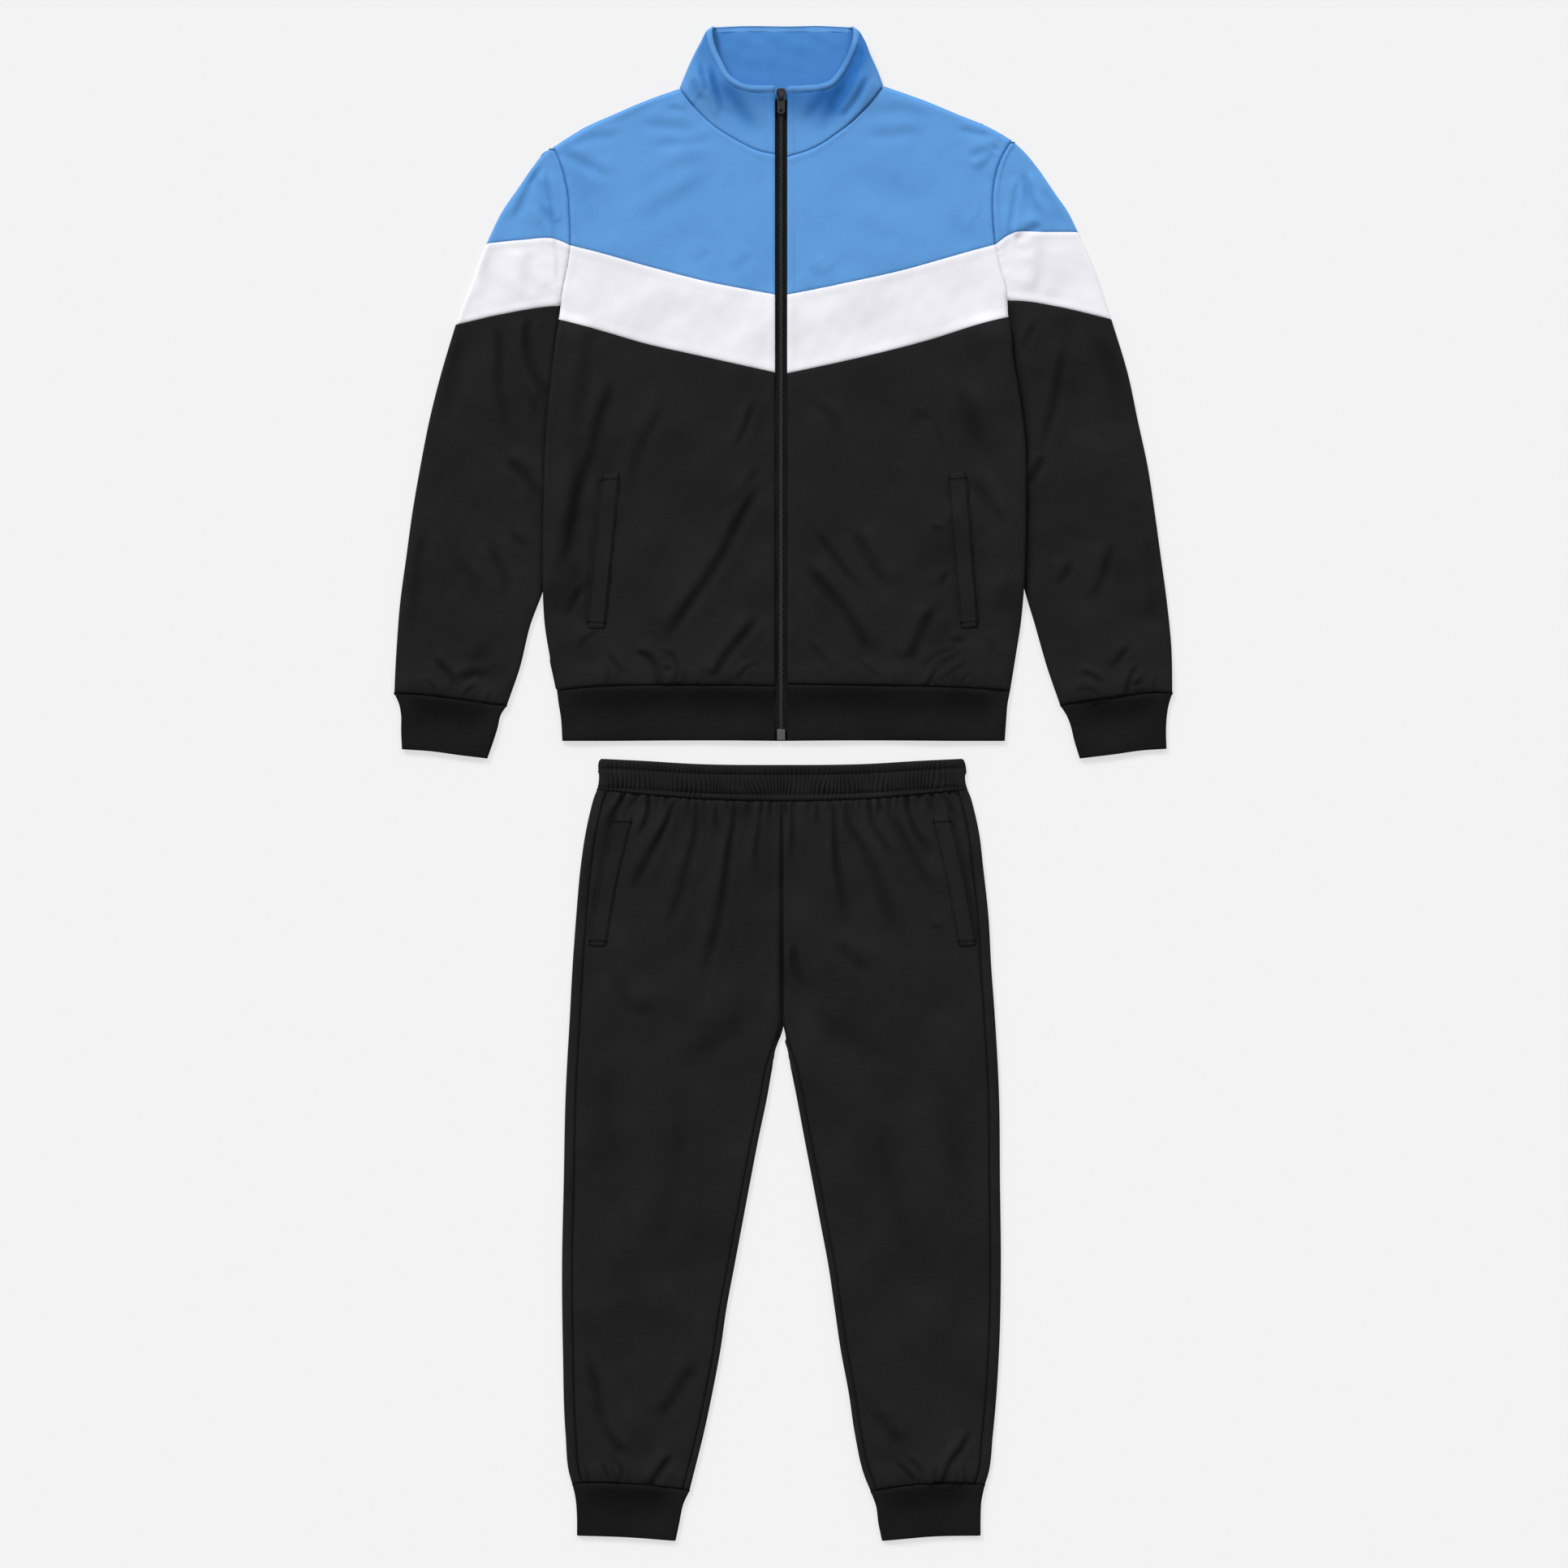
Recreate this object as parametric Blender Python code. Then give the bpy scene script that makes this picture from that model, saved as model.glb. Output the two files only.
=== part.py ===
"""Track jacket above a pair of joggers, both laid flat on a surface.

Every cloth piece is cut from the outline tables below. A garment lies as a flattened tube: `Lay` gives
the height of its top and under side at any point of the plan, rounded along the lines where it folds.
Lengths are in millimetres until a mesh is made. X is to the viewer's right, Y up the picture, Z off the
surface. The jacket is drawn from its hem and zip, the joggers from ankle and centre seam.
"""
import math

import bmesh
import bpy
import numpy as np

JACKET_AT = (0.5, 47.4)
JOGGERS_AT = (-0.9, -859.7)

KNIT = 1.2
RIB = 1.9
COLLAR_WALL = 2.0
BAND_WALL = 1.7
SEAM = 0.15
ARM_SEAM = 0.4
ROUND = 5.0
RIB_ROUND = 3.6
JACKET_HIGH = 5.8
SLEEVE_HIGH = 5.8
LEG_HIGH = 6.0
COLLAR_RISE = 3.4
BODY_LIFT = 6.9
LIFT_FLAT = 24.0
LIFT_END = 46.0

ZIP_X = -2.8
ZIP_GAP = 6.9
TAPE_WIDE = 14.0
TAPE_THICK = 0.8
COIL_WIDE = 5.0
COIL_HIGH = 1.9
COIL_TOP = 722.3
ZIP_END = 10.0
SLIDER_LONG = 17.0
SLIDER_WIDE = 11.0
SLIDER_THICK = 2.2
SLIDER_Y = 731.5
CROWN_LONG = 6.4
CROWN_WIDE = 3.0
CROWN_HIGH = 4.0
PIN = 1.4
TAB_WIDE = 9.0
TAB_LONG = 20.0
TAB_THICK = 1.4
TAB_Y = 730.5

WELT = 1.0
WELT_GAP = 0.8
GATHERS = 56
GATHER_DEEP = 0.85

# left_x, left_y, right_x, right_y: zip edge of the neck seam to the shoulder
NECK = [(9.7, 665, 4.1, 662), (28, 669, 29, 670), (46, 677, 43, 677), (62, 686, 59, 688), (80, 698, 70, 696),
        (96, 713, 87, 712), (108, 727, 101, 727), (118, 740, 113, 743)]
# x, y of the neck seam across the back
BACK_NECK = [(-118, 740), (-90, 733), (-50, 728), (-3, 726.5), (45, 728.5), (86, 735), (113, 743)]
# left_x, left_y, right_x, right_y: neck point to shoulder point
SHOULDER = [(118, 740, 113, 743), (157, 726, 161, 726), (192, 711, 197, 711), (225, 696, 233, 696),
            (262, 673, 259, 681)]
# left_x, left_y, right_x, right_y: shoulder point to the blue and white seam
ARMHOLE_TOP = [(262, 673, 259, 681), (256, 662, 251, 668), (251, 649, 245, 656), (247, 634, 241, 642),
               (244, 618, 238, 626), (243, 602, 237, 607), (242, 581, 238, 586), (242, 562, 240, 563)]
# left_x, left_y, right_x, right_y: blue and white seam to the underarm
ARMHOLE_LOW = [(242, 562, 240, 563), (243, 552, 242, 554), (246, 533, 246, 535), (251, 510, 252, 514),
               (253, 494, 254, 500)]
# left_x, left_y, right_x, right_y: side edge, underarm to the white and black seam
SIDE_BAND = [(253, 494, 254, 500), (254, 486, 254.5, 490), (255, 478, 255, 481)]
# left_x, left_y, right_x, right_y: side edge, white and black seam to the hem seam
SIDE_LOW = [(255, 478, 255, 481), (261, 434, 260, 436), (266, 388, 268, 388), (270, 338, 274, 338),
            (272, 277, 275, 277), (273, 215, 274, 215), (273, 182, 273, 182), (271, 132, 269, 132),
            (266, 100, 264, 100), (257, 57, 257, 57)]
# left_x, left_y, right_x, right_y: side edge of the hem band
SIDE_HEM = [(257, 57, 257, 57), (255, 41, 254, 41), (253, 29, 253, 29), (251, 0, 251, 0)]
# left_x, left_y, right_x, right_y: chevrons and hem seams, side to zip
SEAM_BLUE = [(242, 562, 240, 563), (210, 554, 207, 554), (157, 539, 132, 533), (87, 521, 69, 519),
             (9.7, 506, 4.1, 506)]
SEAM_BLACK = [(255, 478, 255, 481), (209, 466, 220, 472), (157, 451, 162, 454), (87, 435, 87, 435),
              (9.7, 418, 4.1, 417)]
SEAM_HEM = [(257, 57, 257, 57), (222, 61, 181, 61), (145, 63, 142, 62), (68, 63, 98, 63), (9.7, 62, 4.1, 64)]
HEM_EDGE = [(251, 0, 251, 0), (200, 0, 200, 0), (120, 0.5, 120, 0.5), (60, 0.5, 60, 0.5), (9.7, 0, 4.1, 0)]
# left_x, left_y, right_x, right_y: collar fold at the side, then its top edge from there to the zip
COLLAR_SIDE = [(118, 740, 113, 743), (112, 755, 108, 757), (102, 777, 98, 779), (94, 792, 92, 794),
               (86, 806, 83, 807), (80, 810, 78, 810)]
COLLAR_TOP = [(80, 810, 78, 810), (80.5, 800, 79, 800), (78, 788, 77, 789), (69, 768, 70, 772),
              (61, 754, 62, 758), (52, 747, 52, 747), (42, 743, 40, 743), (28, 742, 25, 742),
              (9.7, 742, 4.1, 741)]
# left_x, left_y, right_x, right_y: outer fold of the sleeve, shoulder to blue seam, white seam and cuff
SLEEVE_CAP = [(262, 673, 259, 681), (274, 667, 276, 667), (287, 652, 288, 652), (301, 630, 308, 623),
              (319, 601, 322, 601), (337, 564, 334, 577)]
SLEEVE_BAND = [(337, 564, 334, 577), (347, 540, 345, 553), (355, 517, 354, 531), (364, 494, 363, 504),
               (372, 472, 372, 478)]
SLEEVE_OUT = [(372, 472, 372, 478), (389, 415, 391, 415), (402, 363, 402, 363), (412, 312, 413, 312),
              (421, 260, 421, 260), (428, 209, 428, 209), (435, 157, 435, 157), (439, 106, 440, 106),
              (441.5, 54, 441, 54)]
# left_x, left_y, right_x, right_y: inner fold of the sleeve, under the body's side
SLEEVE_IN = [(253, 494, 254, 500), (256.5, 478, 256.5, 481), (260, 456, 260.5, 457), (259, 436, 259, 436),
             (252, 400, 253, 400), (252, 350, 254, 350), (254, 290, 256, 290), (262, 225, 262, 225),
             (271, 176, 272, 176), (287, 132, 285, 132), (300, 80, 300, 80), (309, 54, 309, 54),
             (314, 40, 314, 40)]
SLEEVE_BLUE = [(337, 564, 334, 577), (297, 568, 299, 577), (259, 569, 258, 575), (242, 562, 240, 563)]
SLEEVE_BLACK = [(372, 472, 372, 478), (319, 484, 309, 493), (280, 491, 280, 498), (253, 494, 254, 500)]
CUFF_SEAM = [(441.5, 54, 441, 54), (398, 51, 413, 54), (361, 46, 389, 51), (334, 42, 357, 47),
             (314, 40, 314, 40)]
CUFF_OUT = [(441.5, 54, 441, 54), (436, 41, 437, 41), (434, 29, 435, 29), (434, 12, 434, 12),
            (433, -9.5, 434.5, -9)]
CUFF_IN = [(314, 40, 314, 40), (321, 29, 321, 29), (324, 16, 326, 16), (328, 3, 329, 3), (336, -20, 336, -20)]
CUFF_EDGE = [(433, -9.5, 434.5, -9), (398, -12, 405, -11), (369, -16, 377, -15), (336, -20, 336, -20)]
# left_x, left_y, right_x, right_y: pocket opening and the inner line of its welt, top to bottom
POCKET_OPEN = [(206, 303, 207, 305), (215, 215, 214, 217), (223, 128, 221, 129)]
POCKET_IN = [(185.5, 305, 186, 304), (194, 216, 193, 216), (202.5, 127, 201, 127)]

# left_x, left_y, right_x, right_y of the joggers
WAIST_TOP = [(206, 887, 204, 887), (164, 885, 162, 885), (94, 881, 90, 881), (0, 880, 0, 880)]
WAIST_SIDE = [(206, 887, 204, 887), (207.5, 880, 206.5, 880), (208.5, 859, 208, 859), (210, 852, 210, 852)]
WAIST_SEAM = [(210, 852, 210, 852), (146, 845, 145, 845), (94, 841, 93, 841), (40, 839, 40, 839),
              (0, 838.5, 0, 838.5)]
LEG_OUT = [(210, 852, 210, 852), (213, 845, 213, 845), (218, 827, 218, 827), (223, 804, 223, 804),
           (229, 763, 228, 763), (234, 707, 234, 707), (238, 652, 237, 652), (241, 597, 241, 597),
           (246, 503, 246, 503), (248, 408, 247, 408), (250, 312, 248, 312), (249, 216, 246, 216),
           (246, 121, 239, 121), (241, 73, 233, 73), (238.5, 65, 230, 64)]
LEG_IN = [(0.4, 586, 0.4, 586), (6, 569, 3.5, 569), (9, 551, 7, 551), (17, 503, 16, 503), (27, 455, 25, 455),
          (36, 408, 34, 408), (45, 360, 43, 360), (54, 312, 52, 312), (63, 264, 59, 264), (70, 216, 66, 216),
          (79, 168, 75, 168), (89, 121, 82, 121), (101, 73, 93, 73), (105, 57, 100, 56)]
ANKLE_SEAM = [(238.5, 65, 230, 64), (209, 66, 190, 66), (186, 65, 170, 65), (151, 63, 147, 63),
              (105, 57, 100, 56)]
ANKLE_OUT = [(238.5, 65, 230, 64), (235, 50, 226, 45), (233, 25, 225, 25), (233, 6, 225, 6)]
ANKLE_IN = [(105, 57, 100, 56), (112, 42, 106, 40), (117, 19, 109, 19), (121, 0, 113, 0)]
ANKLE_EDGE = [(233, 6, 225, 6), (173, 4, 172, 5), (121, 0, 113, 0)]
LEG_POCKET_OPEN = [(190, 822, 190, 822), (207, 748, 207, 748), (220.5, 675, 220.5, 675)]
LEG_POCKET_IN = [(169.5, 821, 169, 821), (187, 748, 186, 748), (200, 674, 199.5, 674)]
SIDE_SEAM_IN = 12.0
INSEAM_IN = 7.5
CROTCH_Y = 586.0

# height, width, then x and y along each large fold of the jacket (negative height is a trough)
JACKET_FOLDS = [
    (3.2, 13, (-16, 300), (-62, 200), (-84, 157), (-112, 119)), (-1.6, 9, (-28, 288), (-75, 192), (-122, 112)),
    (2.4, 11, (-38, 165), (-70, 118), (-92, 80)), (3.0, 13, (30, 215), (72, 155), (112, 84)),
    (-1.5, 9, (18, 205), (58, 155), (100, 80)), (2.0, 11, (168, 150), (140, 92)),
    (2.6, 13, (-160, 435), (-166, 385), (-170, 350)), (2.2, 16, (150, 420), (170, 330)),
    (1.6, 11, (-225, 655), (-176, 628)), (1.6, 11, (225, 655), (180, 640)), (1.5, 9, (-140, 705), (-98, 697)),
    (1.5, 9, (100, 702), (140, 698))]
# height, width, then x and y along each large fold of the sleeves
SLEEVE_FOLDS = [
    (3.0, 10, (-286, 636), (-290, 600), (-276, 560), (-270, 520)), (-1.2, 6, (-268, 636), (-262, 595), (-256, 540)),
    (3.0, 10, (282, 632), (284, 600), (272, 560), (268, 520)), (-1.2, 6, (266, 630), (259, 590), (256, 540)),
    (2.6, 12, (-308, 470), (-304, 415), (-294, 370)), (2.2, 14, (330, 470), (318, 400), (300, 340)),
    (2.6, 13, (-392, 105), (-376, 80), (-362, 66)), (2.6, 12, (398, 105), (384, 80), (380, 66)),
    (2.0, 14, (-335, 330), (-300, 285)), (2.0, 14, (350, 300), (330, 240))]
# height, width, then x and y along each large fold of the joggers
JOGGER_FOLDS = [
    (2.4, 10, (-132, 832), (-138, 796), (-146, 750)),
    (2.2, 9, (-86, 828), (-90, 790)), (2.6, 11, (-50, 826), (-48, 780), (-56, 720)), (2.0, 9, (28, 826), (26, 790)),
    (2.6, 11, (50, 826), (56, 775), (62, 715)), (2.2, 9, (88, 828), (92, 795)),
    (2.4, 10, (128, 832), (138, 790), (148, 750)), (2.4, 14, (-196, 118), (-178, 88)),
    (2.4, 14, (-132, 112), (-148, 80)), (2.4, 14, (196, 118), (180, 82)), (2.4, 14, (112, 128), (132, 92)),
    (2.0, 22, (-120, 470), (-132, 380)), (2.0, 22, (118, 450), (132, 370))]


def side_of(table, hand):
    """One hand of a table: (x, y) rows, the left with negative x."""
    return [(-r[0], r[1]) if hand < 0 else (r[2], r[3]) for r in table]


def curve(points):
    """A smooth line through the points, read by its share of the length."""
    p = np.array(points, float)
    s = np.r_[0, np.cumsum(np.hypot(*np.diff(p, axis=0).T))]
    m = np.gradient(p, s, axis=0)

    def at(t):
        q = min(max(t, 0.0), 1.0) * s[-1]
        i = min(int(np.searchsorted(s, q, side="right")) - 1, len(s) - 2)
        w = s[i + 1] - s[i]
        k = (q - s[i]) / w
        return ((2 * k**3 - 3 * k**2 + 1) * p[i] + (k**3 - 2 * k**2 + k) * w * m[i]
                + (3 * k**2 - 2 * k**3) * p[i + 1] + (k**3 - k**2) * w * m[i + 1])
    return at


def joined(*parts):
    """Several lines as one, cornered where they meet; also the shares at which they do."""
    long = [sum(math.dist(a, b) for a, b in zip(p, p[1:])) for p in parts]
    ends = [sum(long[:i]) / sum(long) for i in range(len(parts) + 1)]
    lines = [curve(p) for p in parts]

    def at(t):
        i = max(k for k in range(len(parts)) if t >= ends[k] or k == 0)
        return lines[i]((t - ends[i]) / (ends[i + 1] - ends[i]))
    return at, ends[1:-1]


def pinned(us, shares):
    """Move the nearest of the shares across a panel to each corner of its edge."""
    for s in shares:
        i = min(range(1, len(us) - 1), key=lambda k: abs(us[k] - s))
        us = us[:i] + [s] + us[i + 1:]
    return us


def patch(top, bottom, start, end):
    """Plan of a panel between four lines: u runs from start to end, v from top to bottom."""
    def at(u, v):
        corners = ((1 - u) * ((1 - v) * top(0) + v * bottom(0)) + u * ((1 - v) * top(1) + v * bottom(1)))
        return (1 - v) * top(u) + v * bottom(u) + (1 - u) * start(v) + u * end(v) - corners
    return at


def near(x, y, line):
    """Distance from a point to a line of points, the direction towards it and the line's own."""
    a, b = line[:-1], line[1:]
    e = b - a
    t = np.clip(((x - a[:, 0]) * e[:, 0] + (y - a[:, 1]) * e[:, 1]) / (e**2).sum(1), 0, 1)
    dx, dy = a[:, 0] + t * e[:, 0] - x, a[:, 1] + t * e[:, 1] - y
    d = np.hypot(dx, dy)
    i = int(d.argmin())
    return d[i], (dx[i] / max(d[i], 1e-9), dy[i] / max(d[i], 1e-9)), e[i] / np.hypot(*e[i])


def ease(t):
    t = min(max(t, 0.0), 1.0)
    return t * t * (3 - 2 * t)


class Lay:
    """Heights of a garment lying flat: folds are the lines it turns over at."""

    def __init__(self, folds, high, creases=(), lift=None, swell=None, soft=ROUND):
        self.folds = [np.array([curve(f)(k / 60) for k in range(61)]) for f in folds]
        self.high, self.lift, self.swell, self.soft = high, lift, swell, soft
        self.creases = [(c[0], c[1], np.array(c[2:], float)) for c in creases]

    def relief(self, x, y):
        return sum(c[0] * math.exp(-(near(x, y, c[2])[0] / c[1]) ** 2) for c in self.creases)

    def at(self, x, y, side, middle, raised=0.0):
        """Outer point and outward direction on the top (side 1), the under side (-1) or a fold (0)."""
        d, out, along = min((near(x, y, f) for f in self.folds), key=lambda r: r[0])
        if d < 0.4:
            away = math.copysign(1.0, along[1] * (x - middle[0]) - along[0] * (y - middle[1]))
            out = (away * along[1], -away * along[0])
        high = self.high + (self.swell(x, y) if self.swell else 0.0)
        h = high / 2
        c = max(1 - d / self.soft, 0.0)
        q = math.sqrt(1 - c * c)
        z = h + side * max(h * q, SEAM)
        if side > 0:
            z += self.relief(x, y) * ease((d - 2) / 14) + raised
        if self.lift:
            z += self.lift(x, y)
        if side == 0:
            q, c = 0.0, 1.0
        n = np.array([out[0] * c / self.soft, out[1] * c / self.soft, side * q / h])
        return np.array([x, y, z]), n / np.linalg.norm(n)


def material(name, colour, rough, metal=0.0):
    m = bpy.data.materials.new(name)
    m.use_nodes = True
    b = m.node_tree.nodes["Principled BSDF"]
    b.inputs["Base Color"].default_value = (*colour, 1)
    b.inputs["Roughness"].default_value = rough
    b.inputs["Metallic"].default_value = metal
    return m


def keep(name, bm, mat, smooth=True):
    mesh = bpy.data.meshes.new(name)
    bmesh.ops.recalc_face_normals(bm, faces=bm.faces)
    if bm.calc_volume(signed=True) < 0:
        bmesh.ops.reverse_faces(bm, faces=bm.faces)
    bm.to_mesh(mesh)
    bm.free()
    if smooth:
        mesh.shade_smooth()
        mesh.set_sharp_from_angle(angle=math.radians(40))
    ob = bpy.data.objects.new(name, mesh)
    ob.data.materials.append(mat)
    OUT.objects.link(ob)
    return ob


def skin(name, lay, columns, at, wall, mat, closed=False, raised=0.0, under=None):
    """A cloth wall: columns of (x, y, side) rows on the outside, the inside one wall further in."""
    middle = np.mean([r[:2] for col in columns for r in col], axis=0)
    grid = [[lay.at(x, y, s, middle, raised) for x, y, s in col] for col in columns]
    if under:
        grid = [[(p + np.array([0, 0, under(p[0], s)]), n) for (p, n), (_, _, s) in zip(g, c)]
                for g, c in zip(grid, columns)]
    shift = np.array([at[0], at[1], 0.0])
    bm = bmesh.new()
    outer = [[bm.verts.new((p + shift) / 1000) for p, n in col] for col in grid]
    inner = [[bm.verts.new((p - wall * n + shift) / 1000) for p, n in col] for col in grid]
    nc, nr = len(grid), len(grid[0])
    for i in range(nc if closed else nc - 1):
        k = (i + 1) % nc
        for j in range(nr - 1):
            bm.faces.new((outer[i][j], outer[k][j], outer[k][j + 1], outer[i][j + 1]))
            bm.faces.new((inner[i][j + 1], inner[k][j + 1], inner[k][j], inner[i][j]))
        bm.faces.new((outer[k][0], outer[i][0], inner[i][0], inner[k][0]))
        bm.faces.new((outer[i][-1], outer[k][-1], inner[k][-1], inner[i][-1]))
    if not closed:
        for j in range(nr - 1):
            bm.faces.new((outer[0][j], outer[0][j + 1], inner[0][j + 1], inner[0][j]))
            bm.faces.new((outer[-1][j + 1], outer[-1][j], inner[-1][j], inner[-1][j + 1]))
    return keep(name, bm, mat)


EDGE = [0.0, 0.7, 2.4, 5.0]
BODY_EDGE = EDGE + [LIFT_FLAT, (LIFT_FLAT + LIFT_END) / 2, LIFT_END]


def spread(width, count, last=True, edge=EDGE):
    """Shares across a width: close together at a fold, even between, a seam's half gap at an open edge."""
    a = [d / width for d in edge]
    b = [1 - d / width for d in reversed(edge)] if last else [1 - SEAM / width]
    lo, hi = a[-1], b[0]
    return a + [lo + (hi - lo) * k / count for k in range(1, count)] + b


def opened(us, width, gap=ARM_SEAM, both_ends=False):
    """The same shares with an armhole's half gap in place of a fold."""
    return ([gap / width] if both_ends else [us[0]]) + us[1:-1] + [1 - gap / width]


def rows(length, count, fold=False, gap=SEAM):
    """Shares down a length, half a seam's gap kept at both ends."""
    a = [0.0] + [d / length for d in EDGE[1:]] if fold else [gap / length]
    lo = a[-1]
    return a + [lo + (1 - SEAM / length - lo) * k / count for k in range(1, count + 1)]


def panel(name, lay, plan, us, vs, side, at, wall, mat, **more):
    cols = [[(*plan(u, v), side) for v in vs] for u in us]
    return skin(name, lay, cols, at, wall, mat, **more)


def tube(name, lay, plan, us, vs, at, wall, mat):
    """A closed ring of cloth: over the top from fold to fold and back underneath."""
    top = [[(*plan(u, v), 0 if u in (us[0], us[-1]) else 1) for v in vs] for u in us]
    low = [[(*plan(u, v), -1) for v in vs] for u in reversed(us[1:-1])]
    return skin(name, lay, top + low, at, wall, mat, closed=True)


def around(name, lay, plan, us, vs, at, wall, mat):
    """Cloth over one fold, u = 0: from its open edge on the top to the same edge underneath."""
    top = [[(*plan(u, v), 0 if u == us[0] else 1) for v in vs] for u in reversed(us)]
    low = [[(*plan(u, v), -1) for v in vs] for u in us[1:]]
    return skin(name, lay, top + low, at, wall, mat)


def both(table):
    """A table's two hands as one line from the left side to the right, half way at the zip."""
    left, right = side_of(table, -1), side_of(table, 1)
    centre = [(ZIP_X, (left[-1][1] + right[-1][1]) / 2)]
    a, b = curve(left[:-1] + centre), curve(centre + right[-2::-1])
    return lambda t: a(2 * t) if t < 0.5 else b(2 * t - 1)


def hull(bm, x, y, z):
    """A box between three pairs of limits."""
    v = [bm.verts.new((a / 1000, b / 1000, c / 1000)) for a in x for b in y for c in z]
    for f in ((0, 1, 3, 2), (4, 6, 7, 5), (0, 4, 5, 1), (2, 3, 7, 6), (0, 2, 6, 4), (1, 5, 7, 3)):
        bm.faces.new([v[i] for i in f])


def block(name, mat, *limits):
    bm = bmesh.new()
    hull(bm, *limits)
    return keep(name, bm, mat, smooth=False)


def prism(name, outline, z0, z1, mat):
    bm = bmesh.new()
    low = [bm.verts.new((x / 1000, y / 1000, z0 / 1000)) for x, y in outline]
    top = [bm.verts.new((x / 1000, y / 1000, z1 / 1000)) for x, y in outline]
    bm.faces.new(low[::-1])
    bm.faces.new(top)
    n = len(low)
    for i in range(n):
        bm.faces.new((low[i], low[(i + 1) % n], top[(i + 1) % n], top[i]))
    return keep(name, bm, mat, smooth=False)


def cut(target, kind, name, *limits):
    """Join or cut a box with a piece; the box stays in the working collection."""
    tool = block(name, target.data.materials[0], *limits)
    OUT.objects.unlink(tool)
    TOOLS.objects.link(tool)
    tool.hide_render = True
    m = target.modifiers.new(name, "BOOLEAN")
    m.operation, m.solver, m.object = kind, "EXACT", tool


for ob in list(bpy.data.objects):
    bpy.data.objects.remove(ob)
OUT = bpy.data.collections.new("tracksuit")
TOOLS = bpy.data.collections.new("tools")
bpy.context.scene.collection.children.link(OUT)
bpy.context.scene.collection.children.link(TOOLS)

BLUE = material("knit_blue", (0.11, 0.32, 0.69), 0.8)
WHITE = material("knit_white", (0.83, 0.83, 0.87), 0.8)
BLACK = material("knit_black", (0.016, 0.016, 0.018), 0.75)
RIBBED = material("rib_black", (0.011, 0.011, 0.012), 0.85)
TAPE = material("zip_tape", (0.012, 0.012, 0.013), 0.7)
PLASTIC = material("zip_plastic", (0.02, 0.02, 0.022), 0.35)
METAL = material("zip_metal", (0.05, 0.05, 0.055), 0.4, 0.6)

HANDS = {"left": -1, "right": 1}


def outer_fold(hand):
    line = side_of(SHOULDER, hand) + side_of(SLEEVE_CAP, hand)[1:] + side_of(SLEEVE_BAND, hand)[1:]
    return line + side_of(SLEEVE_OUT, hand)[1:]


def body_side(hand):
    return side_of(SIDE_BAND, hand) + side_of(SIDE_LOW, hand)[1:] + side_of(SIDE_HEM, hand)[1:]


SIDE_LINES = [np.array([curve(body_side(h))(k / 60) for k in range(61)]) for h in (-1, 1)]


def body_lift(x, y):
    """The body's sides lie over the sleeves between the underarm and the point where the two part."""
    d = min(near(x, y, line)[0] for line in SIDE_LINES)
    along = ease((488 - y) / 34) * ease((y - 140) / 45)
    return BODY_LIFT * along * (1 - ease((d - LIFT_FLAT) / (LIFT_END - LIFT_FLAT)))


def collar_swell(x, y):
    return COLLAR_RISE * ease((y - 690) / 60) * ease((130 - abs(x)) / 40)


BODY = Lay([outer_fold(-1), outer_fold(1), body_side(-1), body_side(1)], JACKET_HIGH, JACKET_FOLDS, body_lift)
HEM = Lay([body_side(-1), body_side(1)], JACKET_HIGH, (), body_lift, None, RIB_ROUND)
NECKED = Lay([side_of(COLLAR_SIDE, -1), side_of(COLLAR_SIDE, 1)], JACKET_HIGH, (), None, collar_swell, RIB_ROUND)

PIECES = (("yoke", NECK, SEAM_BLUE, ARMHOLE_TOP, BLUE, KNIT, 6, 200),
          ("band", SEAM_BLUE, SEAM_BLACK, ARMHOLE_LOW + SIDE_BAND[1:], WHITE, KNIT, 6, 85),
          ("lower", SEAM_BLACK, SEAM_HEM, SIDE_LOW, BLACK, KNIT, 14, 400),
          ("hem", SEAM_HEM, HEM_EDGE, SIDE_HEM, RIBBED, RIB, 2, 60))
ACROSS, ACROSS_BACK = spread(262, 9, last=False, edge=BODY_EDGE), spread(524, 10, edge=BODY_EDGE)
YOKE_ROWS = rows(200, 7, fold=True)
for piece, top, bottom, side, mat, wall, nv, long in PIECES:
    arm, lay = piece == "yoke", HEM if piece == "hem" else BODY
    vs = YOKE_ROWS if arm else rows(long, nv)
    for name, hand in HANDS.items():
        upper, corners = joined(side_of(SHOULDER, hand)[::-1], side_of(NECK, hand)[::-1]) if arm else (
            curve(side_of(top, hand)), [])
        lower, edge = side_of(bottom, hand), side_of(side, hand)
        plan = patch(upper, curve(lower), curve(edge), curve([upper(1), lower[-1]]))
        us = pinned([SEAM / 262] + spread(262, 16, last=False)[1:], corners) if arm else ACROSS
        panel(f"jacket_{piece}_front_{name}", lay, plan, us, vs, 1, JACKET_AT, wall, mat)
    if arm:
        upper, corners = joined(side_of(SHOULDER, -1)[::-1], BACK_NECK, side_of(SHOULDER, 1))
    else:
        upper = both(top)
    plan = patch(upper, both(bottom), curve(side_of(side, -1)), curve(side_of(side, 1)))
    us = pinned(opened(spread(524, 20), 524, SEAM, True), corners) if arm else ACROSS_BACK
    panel(f"jacket_{piece}_back", lay, plan, us, vs, -1, JACKET_AT, wall, mat)

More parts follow.
